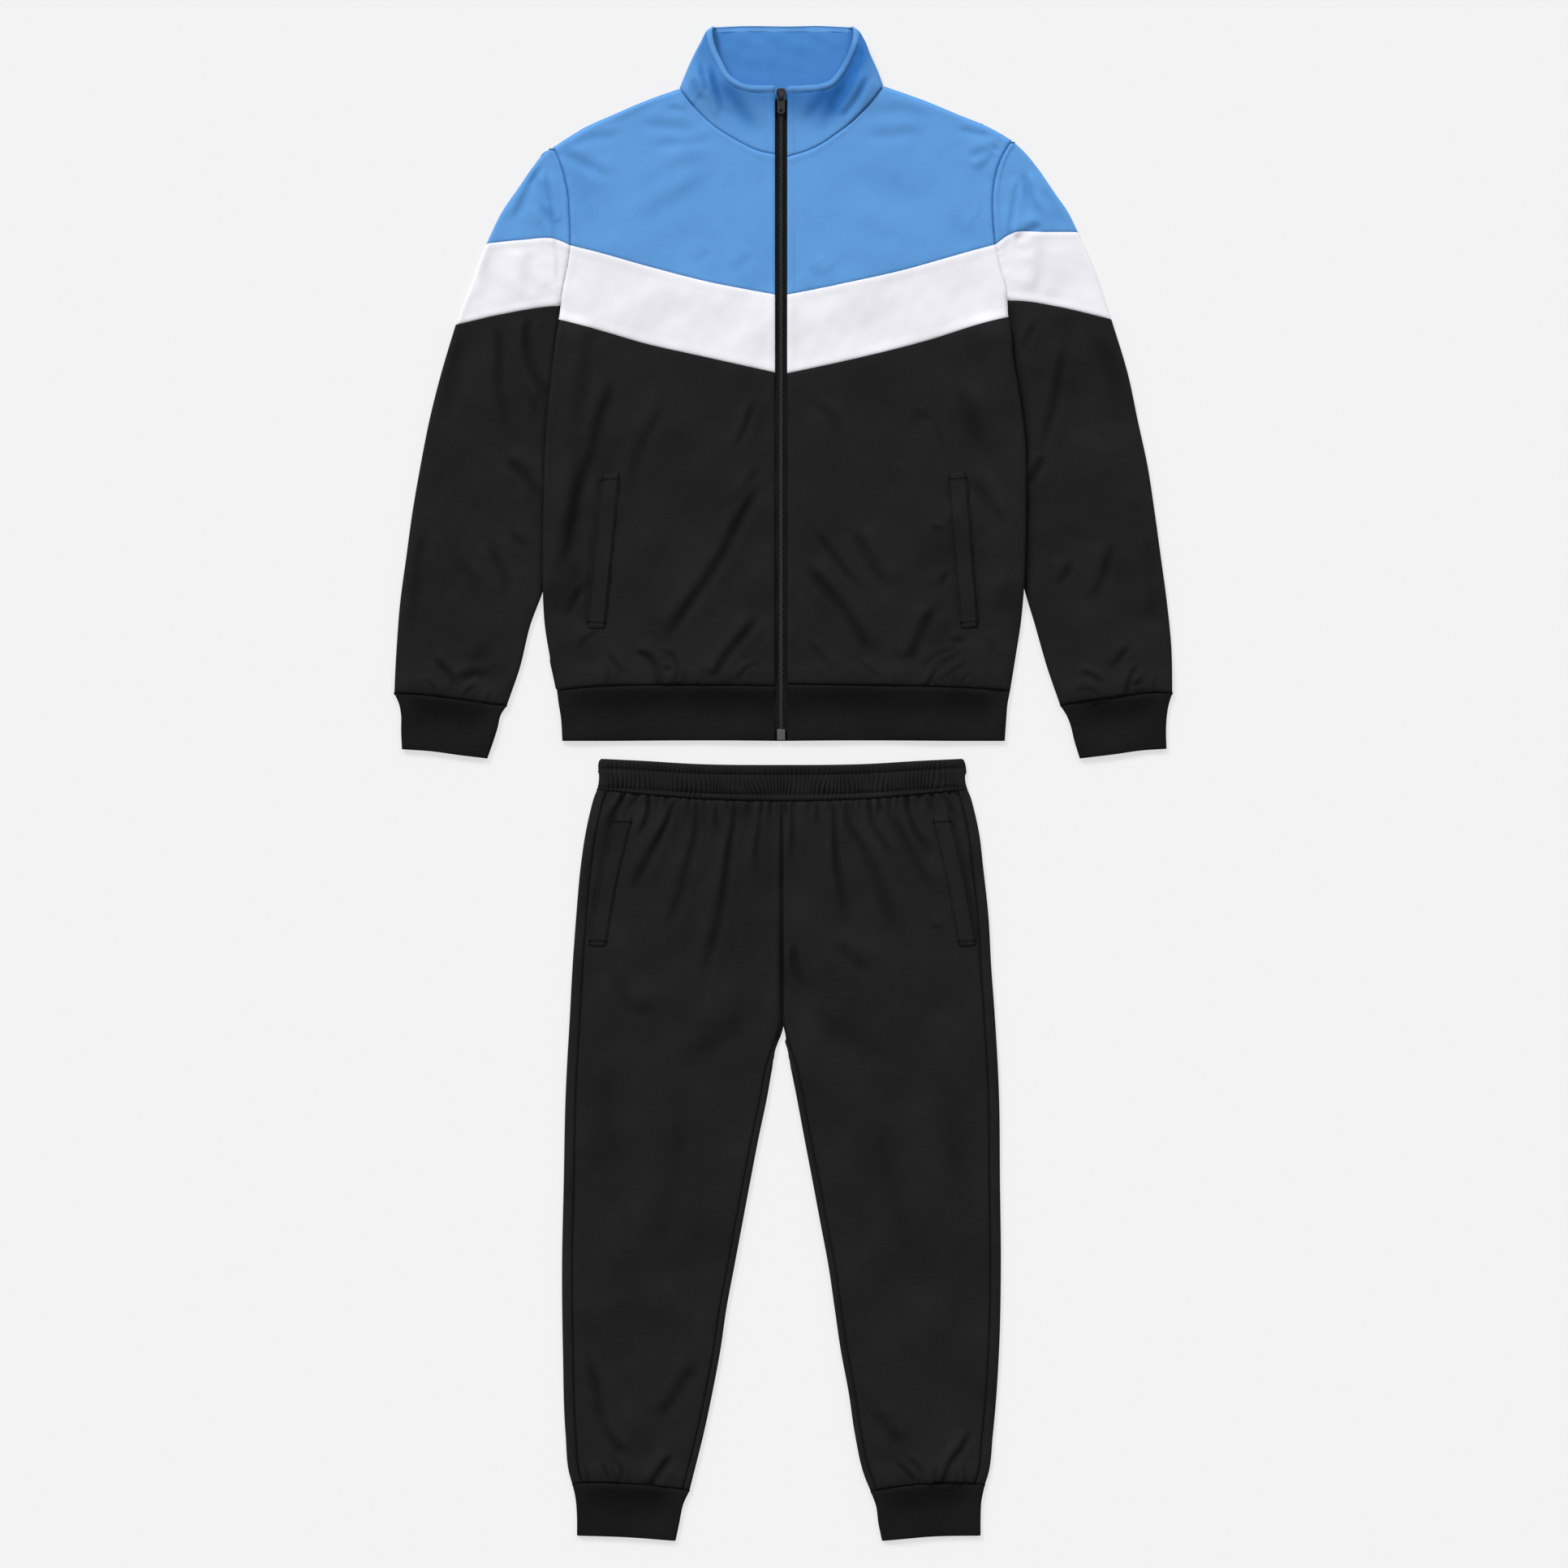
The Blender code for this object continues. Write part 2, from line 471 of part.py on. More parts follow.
fronts = {}
for name, hand in HANDS.items():
    neck, edge = side_of(NECK, hand)[::-1], side_of(COLLAR_TOP, hand)
    fronts[name] = patch(curve(neck), curve(edge), curve(side_of(COLLAR_SIDE, hand)),
                         curve([neck[-1], edge[-1]]))
back_neck = curve(BACK_NECK)
back_top = curve([(-80, 810), (-40, 811.5), (0, 811), (40, 811.5), (78, 810)])
rear = patch(back_neck, back_top, curve(side_of(COLLAR_SIDE, -1)), curve(side_of(COLLAR_SIDE, 1)))
us, vs = spread(125, 7, last=False), [0.9 / 90] + rows(90, 7)[1:]
bu = spread(200, 9)
cols = [[(*fronts["left"](u, v), 0 if u == us[0] else 1) for v in vs] for u in reversed(us)]
cols += [[(*rear(u, v), -1) for v in vs] for u in bu[1:-1]]
cols += [[(*fronts["right"](u, v), 0 if u == us[0] else 1) for v in vs] for u in us]
skin("jacket_collar", NECKED, cols, JACKET_AT, COLLAR_WALL, BLUE)

for name, hand in HANDS.items():
    inner = side_of(SLEEVE_IN, hand) + side_of(CUFF_IN, hand)[1:]
    outer = outer_fold(hand) + side_of(CUFF_OUT, hand)[1:]
    lay = Lay([outer, inner], SLEEVE_HIGH, SLEEVE_FOLDS)
    tip = np.array(side_of(SLEEVE_CAP, hand)[0], float)
    plan = patch(lambda t, p=tip: p, curve(side_of(SLEEVE_BLUE, hand)), curve(side_of(SLEEVE_CAP, hand)),
                 curve(side_of(ARMHOLE_TOP, hand)))
    ring = spread(140, 6)
    us = opened(ring, 95)
    vs = [0.05] + [v for v in YOKE_ROWS if v > 0.08]
    around(f"jacket_sleeve_cap_{name}", lay, plan, us, vs, JACKET_AT, KNIT, BLUE)
    plan = patch(curve(side_of(SLEEVE_BLUE, hand)), curve(side_of(SLEEVE_BLACK, hand)),
                 curve(side_of(SLEEVE_BAND, hand)), curve(side_of(ARMHOLE_LOW, hand)))
    around(f"jacket_sleeve_band_{name}", lay, plan, us, rows(70, 6), JACKET_AT, KNIT, WHITE)
    plan = patch(curve(side_of(SLEEVE_BLACK, hand)), curve(side_of(CUFF_SEAM, hand)),
                 curve(side_of(SLEEVE_OUT, hand)), curve(side_of(SLEEVE_IN, hand)))
    tube(f"jacket_sleeve_{name}", lay, plan, ring, rows(440, 12), JACKET_AT, KNIT, BLACK)
    plan = patch(curve(side_of(CUFF_SEAM, hand)), curve(side_of(CUFF_EDGE, hand)),
                 curve(side_of(CUFF_OUT, hand)), curve(side_of(CUFF_IN, hand)))
    cuff_lay = Lay([side_of(CUFF_OUT, hand), side_of(CUFF_IN, hand)], SLEEVE_HIGH, soft=RIB_ROUND)
    tube(f"jacket_cuff_{name}", cuff_lay, plan, ring, rows(65, 2, gap=0.5), JACKET_AT, RIB, RIBBED)
    plan = patch(curve([side_of(POCKET_OPEN, hand)[0], side_of(POCKET_IN, hand)[0]]),
                 curve([side_of(POCKET_OPEN, hand)[-1], side_of(POCKET_IN, hand)[-1]]),
                 curve(side_of(POCKET_OPEN, hand)), curve(side_of(POCKET_IN, hand)))
    panel(f"jacket_welt_{name}", BODY, plan, [0.0, 0.33, 0.67, 1.0], [k / 12 for k in range(13)], 1,
          JACKET_AT, WELT, BLACK, raised=WELT_GAP + WELT)

zx, zy = ZIP_X + JACKET_AT[0], JACKET_AT[1]
tape_top = JACKET_HIGH - RIB - 0.3
for name, hand in HANDS.items():
    near_x, far_x = zx + hand * 0.2, zx + hand * TAPE_WIDE
    block(f"zip_tape_{name}", TAPE, sorted((near_x, far_x)), (zy + ZIP_END, zy + SLIDER_Y - 4),
          (tape_top - TAPE_THICK, tape_top))
coil = [(-0.5, 0.0), (-0.5, 0.55), (-0.28, 1.0), (0.28, 1.0), (0.5, 0.55), (0.5, 0.0)]
bm = bmesh.new()
ends = [[bm.verts.new(((zx + a * COIL_WIDE) / 1000, (zy + y) / 1000, (tape_top + 0.25 + b * COIL_HIGH) / 1000))
         for a, b in coil] for y in (ZIP_END + 13.3, COIL_TOP)]
bm.faces.new(ends[0])
bm.faces.new(ends[1][::-1])
for i in range(6):
    bm.faces.new((ends[0][i], ends[1][i], ends[1][(i + 1) % 6], ends[0][(i + 1) % 6]))
keep("zip_coil", bm, PLASTIC, smooth=False)
block("zip_box", PLASTIC, (zx - 4.6, zx + 4.6), (zy + ZIP_END - 9, zy + ZIP_END + 13), (tape_top + 0.25, tape_top + 2.6))

sy, half = zy + SLIDER_Y, SLIDER_LONG / 2
plate = [(-0.5, 0.55), (-0.42, 0.9), (-0.2, 1), (0.2, 1), (0.42, 0.9), (0.5, 0.55), (0.38, -0.4), (0.34, -0.9),
         (0.22, -1), (-0.22, -1), (-0.34, -0.9), (-0.38, -0.4)]
z0 = tape_top + 0.3
slider = prism("zip_slider", [(zx + a * SLIDER_WIDE, sy + b * half) for a, b in plate], z0, z0 + SLIDER_THICK, METAL)
z1, cy = z0 + SLIDER_THICK, zy + TAB_Y
cut(slider, "UNION", "crown", (zx - CROWN_WIDE / 2, zx + CROWN_WIDE / 2), (cy - CROWN_LONG / 2, cy + CROWN_LONG / 2),
    (z1 - 0.8, z1 + CROWN_HIGH))
pin_z = z1 + 0.5 + PIN / 2 + 0.4
cut(slider, "DIFFERENCE", "crown_eye", (zx - 3, zx + 3), (cy - PIN / 2 - 0.6, cy + PIN / 2 + 0.6),
    (pin_z - PIN / 2 - 0.5, pin_z + PIN / 2 + 0.5))
tab = [(-0.42, PIN / 2), (-0.5, -1.2), (-0.5, 2.5 - TAB_LONG), (-0.36, -TAB_LONG + 0.6), (-0.2, -TAB_LONG),
       (0.2, -TAB_LONG), (0.36, -TAB_LONG + 0.6), (0.5, 2.5 - TAB_LONG), (0.5, -1.2), (0.42, PIN / 2)]
pull = prism("zip_pull_tab", [(zx + a * TAB_WIDE, cy + b) for a, b in tab], pin_z - TAB_THICK / 2,
             pin_z + TAB_THICK / 2, METAL)
cut(pull, "DIFFERENCE", "tab_window", (zx - 2.2, zx + 2.2), (cy - 6.2, cy - PIN / 2), (pin_z - 2, pin_z + 2))
cut(pull, "DIFFERENCE", "tab_hole", (zx - 1.3, zx + 1.3), (cy - TAB_LONG + 2.4, cy - TAB_LONG + 5.0),
    (pin_z - 2, pin_z + 2))


def gather(x, side):
    """The waistband's elastic draws its cloth into even gathers, the under side's rising from the surface."""
    wave = 0.5 + 0.5 * math.cos(math.pi * (x + 206) * 2 * GATHERS / 412)
    return GATHER_DEEP * ease((204 - abs(x)) / 8) * (wave if side < 0 else 2 * wave - 1)


legs = [side_of(WAIST_SIDE, h) + side_of(LEG_OUT, h)[1:] for h in (-1, 1)]
WAIST = Lay(legs, LEG_HIGH, soft=RIB_ROUND)
for name, side in (("front", 1), ("back", -1)):
    plan = patch(curve(side_of(WAIST_TOP, -1) + side_of(WAIST_TOP, 1)[-2::-1]),
                 curve(side_of(WAIST_SEAM, -1) + side_of(WAIST_SEAM, 1)[-2::-1]),
                 curve(side_of(WAIST_SIDE, -1)), curve(side_of(WAIST_SIDE, 1)))
    us = [0.0, 0.002, 0.0045] + [k / (2 * GATHERS) for k in range(1, 2 * GATHERS)] + [0.9955, 0.998, 1.0]
    panel(f"joggers_waistband_{name}", WAIST, plan, us, rows(38, 2), side, JOGGERS_AT, BAND_WALL, BLACK, under=gather)

for name, hand in HANDS.items():
    out, inn = side_of(LEG_OUT, hand), side_of(LEG_IN, hand)
    lay = Lay([side_of(WAIST_SIDE, hand) + out[1:], inn], LEG_HIGH, JOGGER_FOLDS)
    centre, crotch = joined([(hand * SEAM, WAIST_SEAM[-1][1]), (hand * SEAM * 2, CROTCH_Y)], inn)
    plan = patch(curve(side_of(WAIST_SEAM, hand)), curve(side_of(ANKLE_SEAM, hand)), curve(out), centre)
    vs = pinned(rows(780, 15, gap=0.3)[:-1] + [1 - 0.35 / 780], crotch)

    def width(v):
        return np.linalg.norm(plan(1, v) - plan(0, v))

    def wrap(v):
        """How far the back leg comes over the inner fold: nothing at the crotch, a seam's width below."""
        return INSEAM_IN * ease((CROTCH_Y - 6 - plan(1, v)[1]) / 60)

    def on_top(v, k, n):
        lo, hi = (SIDE_SEAM_IN + SEAM) / width(v), 1 - (wrap(v) + (SEAM if wrap(v) > 0.3 else 0.0)) / width(v)
        return (*plan(lo + (hi - lo) * k / n, v), 1)

    skin(f"joggers_leg_front_{name}", lay, [[on_top(v, k, 10) for v in vs] for k in range(11)], JOGGERS_AT, KNIT,
         BLACK)
    cols = [[(*plan(d / width(v), v), 1) for v in vs] for d in (SIDE_SEAM_IN - SEAM, *reversed(EDGE[1:]))]
    cols.append([(*plan(0, v), 0) for v in vs])
    cols += [[(*plan(d / width(v), v), -1) for v in vs] for d in EDGE[1:]]
    cols += [[(*plan((5 + (width(v) - 11) * k / 6) / width(v), v), -1) for v in vs] for k in range(1, 7)]
    for k in range(1, 8):
        col = []
        for v in vs:
            w = wrap(v)
            path = k / 7 * (6 + w - (SEAM if w > 0.3 else 0))
            left = 6 - path
            side = -1 if left > 0.02 or w < 0.3 else (0 if left > -0.02 else 1)
            col.append((*plan(1 - abs(left) / width(v), v), side))
        cols.append(col)
    skin(f"joggers_leg_back_{name}", lay, cols, JOGGERS_AT, KNIT, BLACK)

    plan = patch(curve(side_of(ANKLE_SEAM, hand)), curve(side_of(ANKLE_EDGE, hand)),
                 curve(side_of(ANKLE_OUT, hand)), curve(side_of(ANKLE_IN, hand)))
    cuff_lay = Lay([side_of(ANKLE_OUT, hand), side_of(ANKLE_IN, hand)], LEG_HIGH, soft=RIB_ROUND)
    tube(f"joggers_cuff_{name}", cuff_lay, plan, spread(125, 5), rows(60, 2, gap=0.4), JOGGERS_AT, RIB, RIBBED)
    plan = patch(curve([side_of(LEG_POCKET_OPEN, hand)[0], side_of(LEG_POCKET_IN, hand)[0]]),
                 curve([side_of(LEG_POCKET_OPEN, hand)[-1], side_of(LEG_POCKET_IN, hand)[-1]]),
                 curve(side_of(LEG_POCKET_OPEN, hand)), curve(side_of(LEG_POCKET_IN, hand)))
    panel(f"joggers_welt_{name}", lay, plan, [0.0, 0.33, 0.67, 1.0], [k / 10 for k in range(11)], 1, JOGGERS_AT,
          WELT, BLACK, raised=WELT_GAP + WELT)
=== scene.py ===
"""Track jacket and joggers laid flat: cloth, stitching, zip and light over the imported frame."""
import math

import bmesh
import bpy
import numpy as np
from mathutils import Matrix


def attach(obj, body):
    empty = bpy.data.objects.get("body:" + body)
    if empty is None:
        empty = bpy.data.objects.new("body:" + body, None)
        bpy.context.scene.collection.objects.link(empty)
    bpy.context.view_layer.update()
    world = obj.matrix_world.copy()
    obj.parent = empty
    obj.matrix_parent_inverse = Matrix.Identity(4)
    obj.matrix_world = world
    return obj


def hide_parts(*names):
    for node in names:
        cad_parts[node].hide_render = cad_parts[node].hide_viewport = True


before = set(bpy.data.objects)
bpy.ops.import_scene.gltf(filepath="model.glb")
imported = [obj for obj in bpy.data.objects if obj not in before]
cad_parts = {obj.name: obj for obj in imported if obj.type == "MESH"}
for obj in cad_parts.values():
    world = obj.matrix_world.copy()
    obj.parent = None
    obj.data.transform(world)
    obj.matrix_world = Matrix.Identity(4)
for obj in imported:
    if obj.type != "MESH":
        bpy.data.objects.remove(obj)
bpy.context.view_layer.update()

JACKET_AT = (0.5, 47.4)
JOGGERS_AT = (-0.9, -859.7)

KNIT = 1.2
RIB = 1.9
COLLAR_WALL = 2.0
ROUND = 5.0
RIB_ROUND = 3.6
JACKET_HIGH = 5.8
SLEEVE_HIGH = 5.8
LEG_HIGH = 6.0
COLLAR_RISE = 3.4
BODY_LIFT = 6.9
LIFT_FLAT = 24.0
LIFT_END = 46.0

ZIP_X = -2.8
ZIP_GAP = 6.9
COIL_TOP = 722.3

WELT = 1.0
WELT_GAP = 0.8

# left_x, left_y, right_x, right_y: zip edge of the neck seam to the shoulder
NECK = [(9.7, 665, 4.1, 662), (28, 669, 29, 670), (46, 677, 43, 677), (62, 686, 59, 688), (80, 698, 70, 696),
        (96, 713, 87, 712), (108, 727, 101, 727), (118, 740, 113, 743)]
# x, y of the neck seam across the back
BACK_NECK = [(-118, 740), (-90, 733), (-50, 728), (-3, 726.5), (45, 728.5), (86, 735), (113, 743)]
# left_x, left_y, right_x, right_y: neck point to shoulder point
SHOULDER = [(118, 740, 113, 743), (157, 726, 161, 726), (192, 711, 197, 711), (225, 696, 233, 696),
            (262, 673, 259, 681)]
# left_x, left_y, right_x, right_y: shoulder point to the blue and white seam
ARMHOLE_TOP = [(262, 673, 259, 681), (256, 662, 251, 668), (251, 649, 245, 656), (247, 634, 241, 642),
               (244, 618, 238, 626), (243, 602, 237, 607), (242, 581, 238, 586), (242, 562, 240, 563)]
# left_x, left_y, right_x, right_y: blue and white seam to the underarm
ARMHOLE_LOW = [(242, 562, 240, 563), (243, 552, 242, 554), (246, 533, 246, 535), (251, 510, 252, 514),
               (253, 494, 254, 500)]
# left_x, left_y, right_x, right_y: side edge, underarm to the white and black seam
SIDE_BAND = [(253, 494, 254, 500), (254, 486, 254.5, 490), (255, 478, 255, 481)]
# left_x, left_y, right_x, right_y: side edge, white and black seam to the hem seam
SIDE_LOW = [(255, 478, 255, 481), (261, 434, 260, 436), (266, 388, 268, 388), (270, 338, 274, 338),
            (272, 277, 275, 277), (273, 215, 274, 215), (273, 182, 273, 182), (271, 132, 269, 132),
            (266, 100, 264, 100), (257, 57, 257, 57)]
# left_x, left_y, right_x, right_y: side edge of the hem band
SIDE_HEM = [(257, 57, 257, 57), (255, 41, 254, 41), (253, 29, 253, 29), (251, 0, 251, 0)]
# left_x, left_y, right_x, right_y: chevrons and hem seams, side to zip
SEAM_BLUE = [(242, 562, 240, 563), (210, 554, 207, 554), (157, 539, 132, 533), (87, 521, 69, 519),
             (9.7, 506, 4.1, 506)]
SEAM_BLACK = [(255, 478, 255, 481), (209, 466, 220, 472), (157, 451, 162, 454), (87, 435, 87, 435),
              (9.7, 418, 4.1, 417)]
SEAM_HEM = [(257, 57, 257, 57), (222, 61, 181, 61), (145, 63, 142, 62), (68, 63, 98, 63), (9.7, 62, 4.1, 64)]
HEM_EDGE = [(251, 0, 251, 0), (200, 0, 200, 0), (120, 0.5, 120, 0.5), (60, 0.5, 60, 0.5), (9.7, 0, 4.1, 0)]
# left_x, left_y, right_x, right_y: collar fold at the side, then its top edge from there to the zip
COLLAR_SIDE = [(118, 740, 113, 743), (112, 755, 108, 757), (102, 777, 98, 779), (94, 792, 92, 794),
               (86, 806, 83, 807), (80, 810, 78, 810)]
COLLAR_TOP = [(80, 810, 78, 810), (80.5, 800, 79, 800), (78, 788, 77, 789), (69, 768, 70, 772),
              (61, 754, 62, 758), (52, 747, 52, 747), (42, 743, 40, 743), (28, 742, 25, 742),
              (9.7, 742, 4.1, 741)]
# left_x, left_y, right_x, right_y: outer fold of the sleeve, shoulder to blue seam, white seam and cuff
SLEEVE_CAP = [(262, 673, 259, 681), (274, 667, 276, 667), (287, 652, 288, 652), (301, 630, 308, 623),
              (319, 601, 322, 601), (337, 564, 334, 577)]
SLEEVE_BAND = [(337, 564, 334, 577), (347, 540, 345, 553), (355, 517, 354, 531), (364, 494, 363, 504),
               (372, 472, 372, 478)]
SLEEVE_OUT = [(372, 472, 372, 478), (389, 415, 391, 415), (402, 363, 402, 363), (412, 312, 413, 312),
              (421, 260, 421, 260), (428, 209, 428, 209), (435, 157, 435, 157), (439, 106, 440, 106),
              (441.5, 54, 441, 54)]
# left_x, left_y, right_x, right_y: inner fold of the sleeve, under the body's side
SLEEVE_IN = [(253, 494, 254, 500), (256.5, 478, 256.5, 481), (260, 456, 260.5, 457), (259, 436, 259, 436),
             (252, 400, 253, 400), (252, 350, 254, 350), (254, 290, 256, 290), (262, 225, 262, 225),
             (271, 176, 272, 176), (287, 132, 285, 132), (300, 80, 300, 80), (309, 54, 309, 54),
             (314, 40, 314, 40)]
SLEEVE_BLUE = [(337, 564, 334, 577), (297, 568, 299, 577), (259, 569, 258, 575), (242, 562, 240, 563)]
SLEEVE_BLACK = [(372, 472, 372, 478), (319, 484, 309, 493), (280, 491, 280, 498), (253, 494, 254, 500)]
CUFF_SEAM = [(441.5, 54, 441, 54), (398, 51, 413, 54), (361, 46, 389, 51), (334, 42, 357, 47),
             (314, 40, 314, 40)]
CUFF_OUT = [(441.5, 54, 441, 54), (436, 41, 437, 41), (434, 29, 435, 29), (434, 12, 434, 12),
            (433, -9.5, 434.5, -9)]
CUFF_IN = [(314, 40, 314, 40), (321, 29, 321, 29), (324, 16, 326, 16), (328, 3, 329, 3), (336, -20, 336, -20)]
CUFF_EDGE = [(433, -9.5, 434.5, -9), (398, -12, 405, -11), (369, -16, 377, -15), (336, -20, 336, -20)]
# left_x, left_y, right_x, right_y: pocket opening and the inner line of its welt, top to bottom
POCKET_OPEN = [(206, 303, 207, 305), (215, 215, 214, 217), (223, 128, 221, 129)]
POCKET_IN = [(185.5, 305, 186, 304), (194, 216, 193, 216), (202.5, 127, 201, 127)]

# left_x, left_y, right_x, right_y of the joggers
WAIST_TOP = [(206, 887, 204, 887), (164, 885, 162, 885), (94, 881, 90, 881), (0, 880, 0, 880)]
WAIST_SIDE = [(206, 887, 204, 887), (207.5, 880, 206.5, 880), (208.5, 859, 208, 859), (210, 852, 210, 852)]
WAIST_SEAM = [(210, 852, 210, 852), (146, 845, 145, 845), (94, 841, 93, 841), (40, 839, 40, 839),
              (0, 838.5, 0, 838.5)]
LEG_OUT = [(210, 852, 210, 852), (213, 845, 213, 845), (218, 827, 218, 827), (223, 804, 223, 804),
           (229, 763, 228, 763), (234, 707, 234, 707), (238, 652, 237, 652), (241, 597, 241, 597),
           (246, 503, 246, 503), (248, 408, 247, 408), (250, 312, 248, 312), (249, 216, 246, 216),
           (246, 121, 239, 121), (241, 73, 233, 73), (238.5, 65, 230, 64)]
LEG_IN = [(0.4, 586, 0.4, 586), (6, 569, 3.5, 569), (9, 551, 7, 551), (17, 503, 16, 503), (27, 455, 25, 455),
          (36, 408, 34, 408), (45, 360, 43, 360), (54, 312, 52, 312), (63, 264, 59, 264), (70, 216, 66, 216),
          (79, 168, 75, 168), (89, 121, 82, 121), (101, 73, 93, 73), (105, 57, 100, 56)]
ANKLE_SEAM = [(238.5, 65, 230, 64), (209, 66, 190, 66), (186, 65, 170, 65), (151, 63, 147, 63),
              (105, 57, 100, 56)]
ANKLE_OUT = [(238.5, 65, 230, 64), (235, 50, 226, 45), (233, 25, 225, 25), (233, 6, 225, 6)]
ANKLE_IN = [(105, 57, 100, 56), (112, 42, 106, 40), (117, 19, 109, 19), (121, 0, 113, 0)]
ANKLE_EDGE = [(233, 6, 225, 6), (173, 4, 172, 5), (121, 0, 113, 0)]
LEG_POCKET_OPEN = [(190, 822, 190, 822), (207, 748, 207, 748), (220.5, 675, 220.5, 675)]
LEG_POCKET_IN = [(169.5, 821, 169, 821), (187, 748, 186, 748), (200, 674, 199.5, 674)]
SIDE_SEAM_IN = 12.0
INSEAM_IN = 7.5

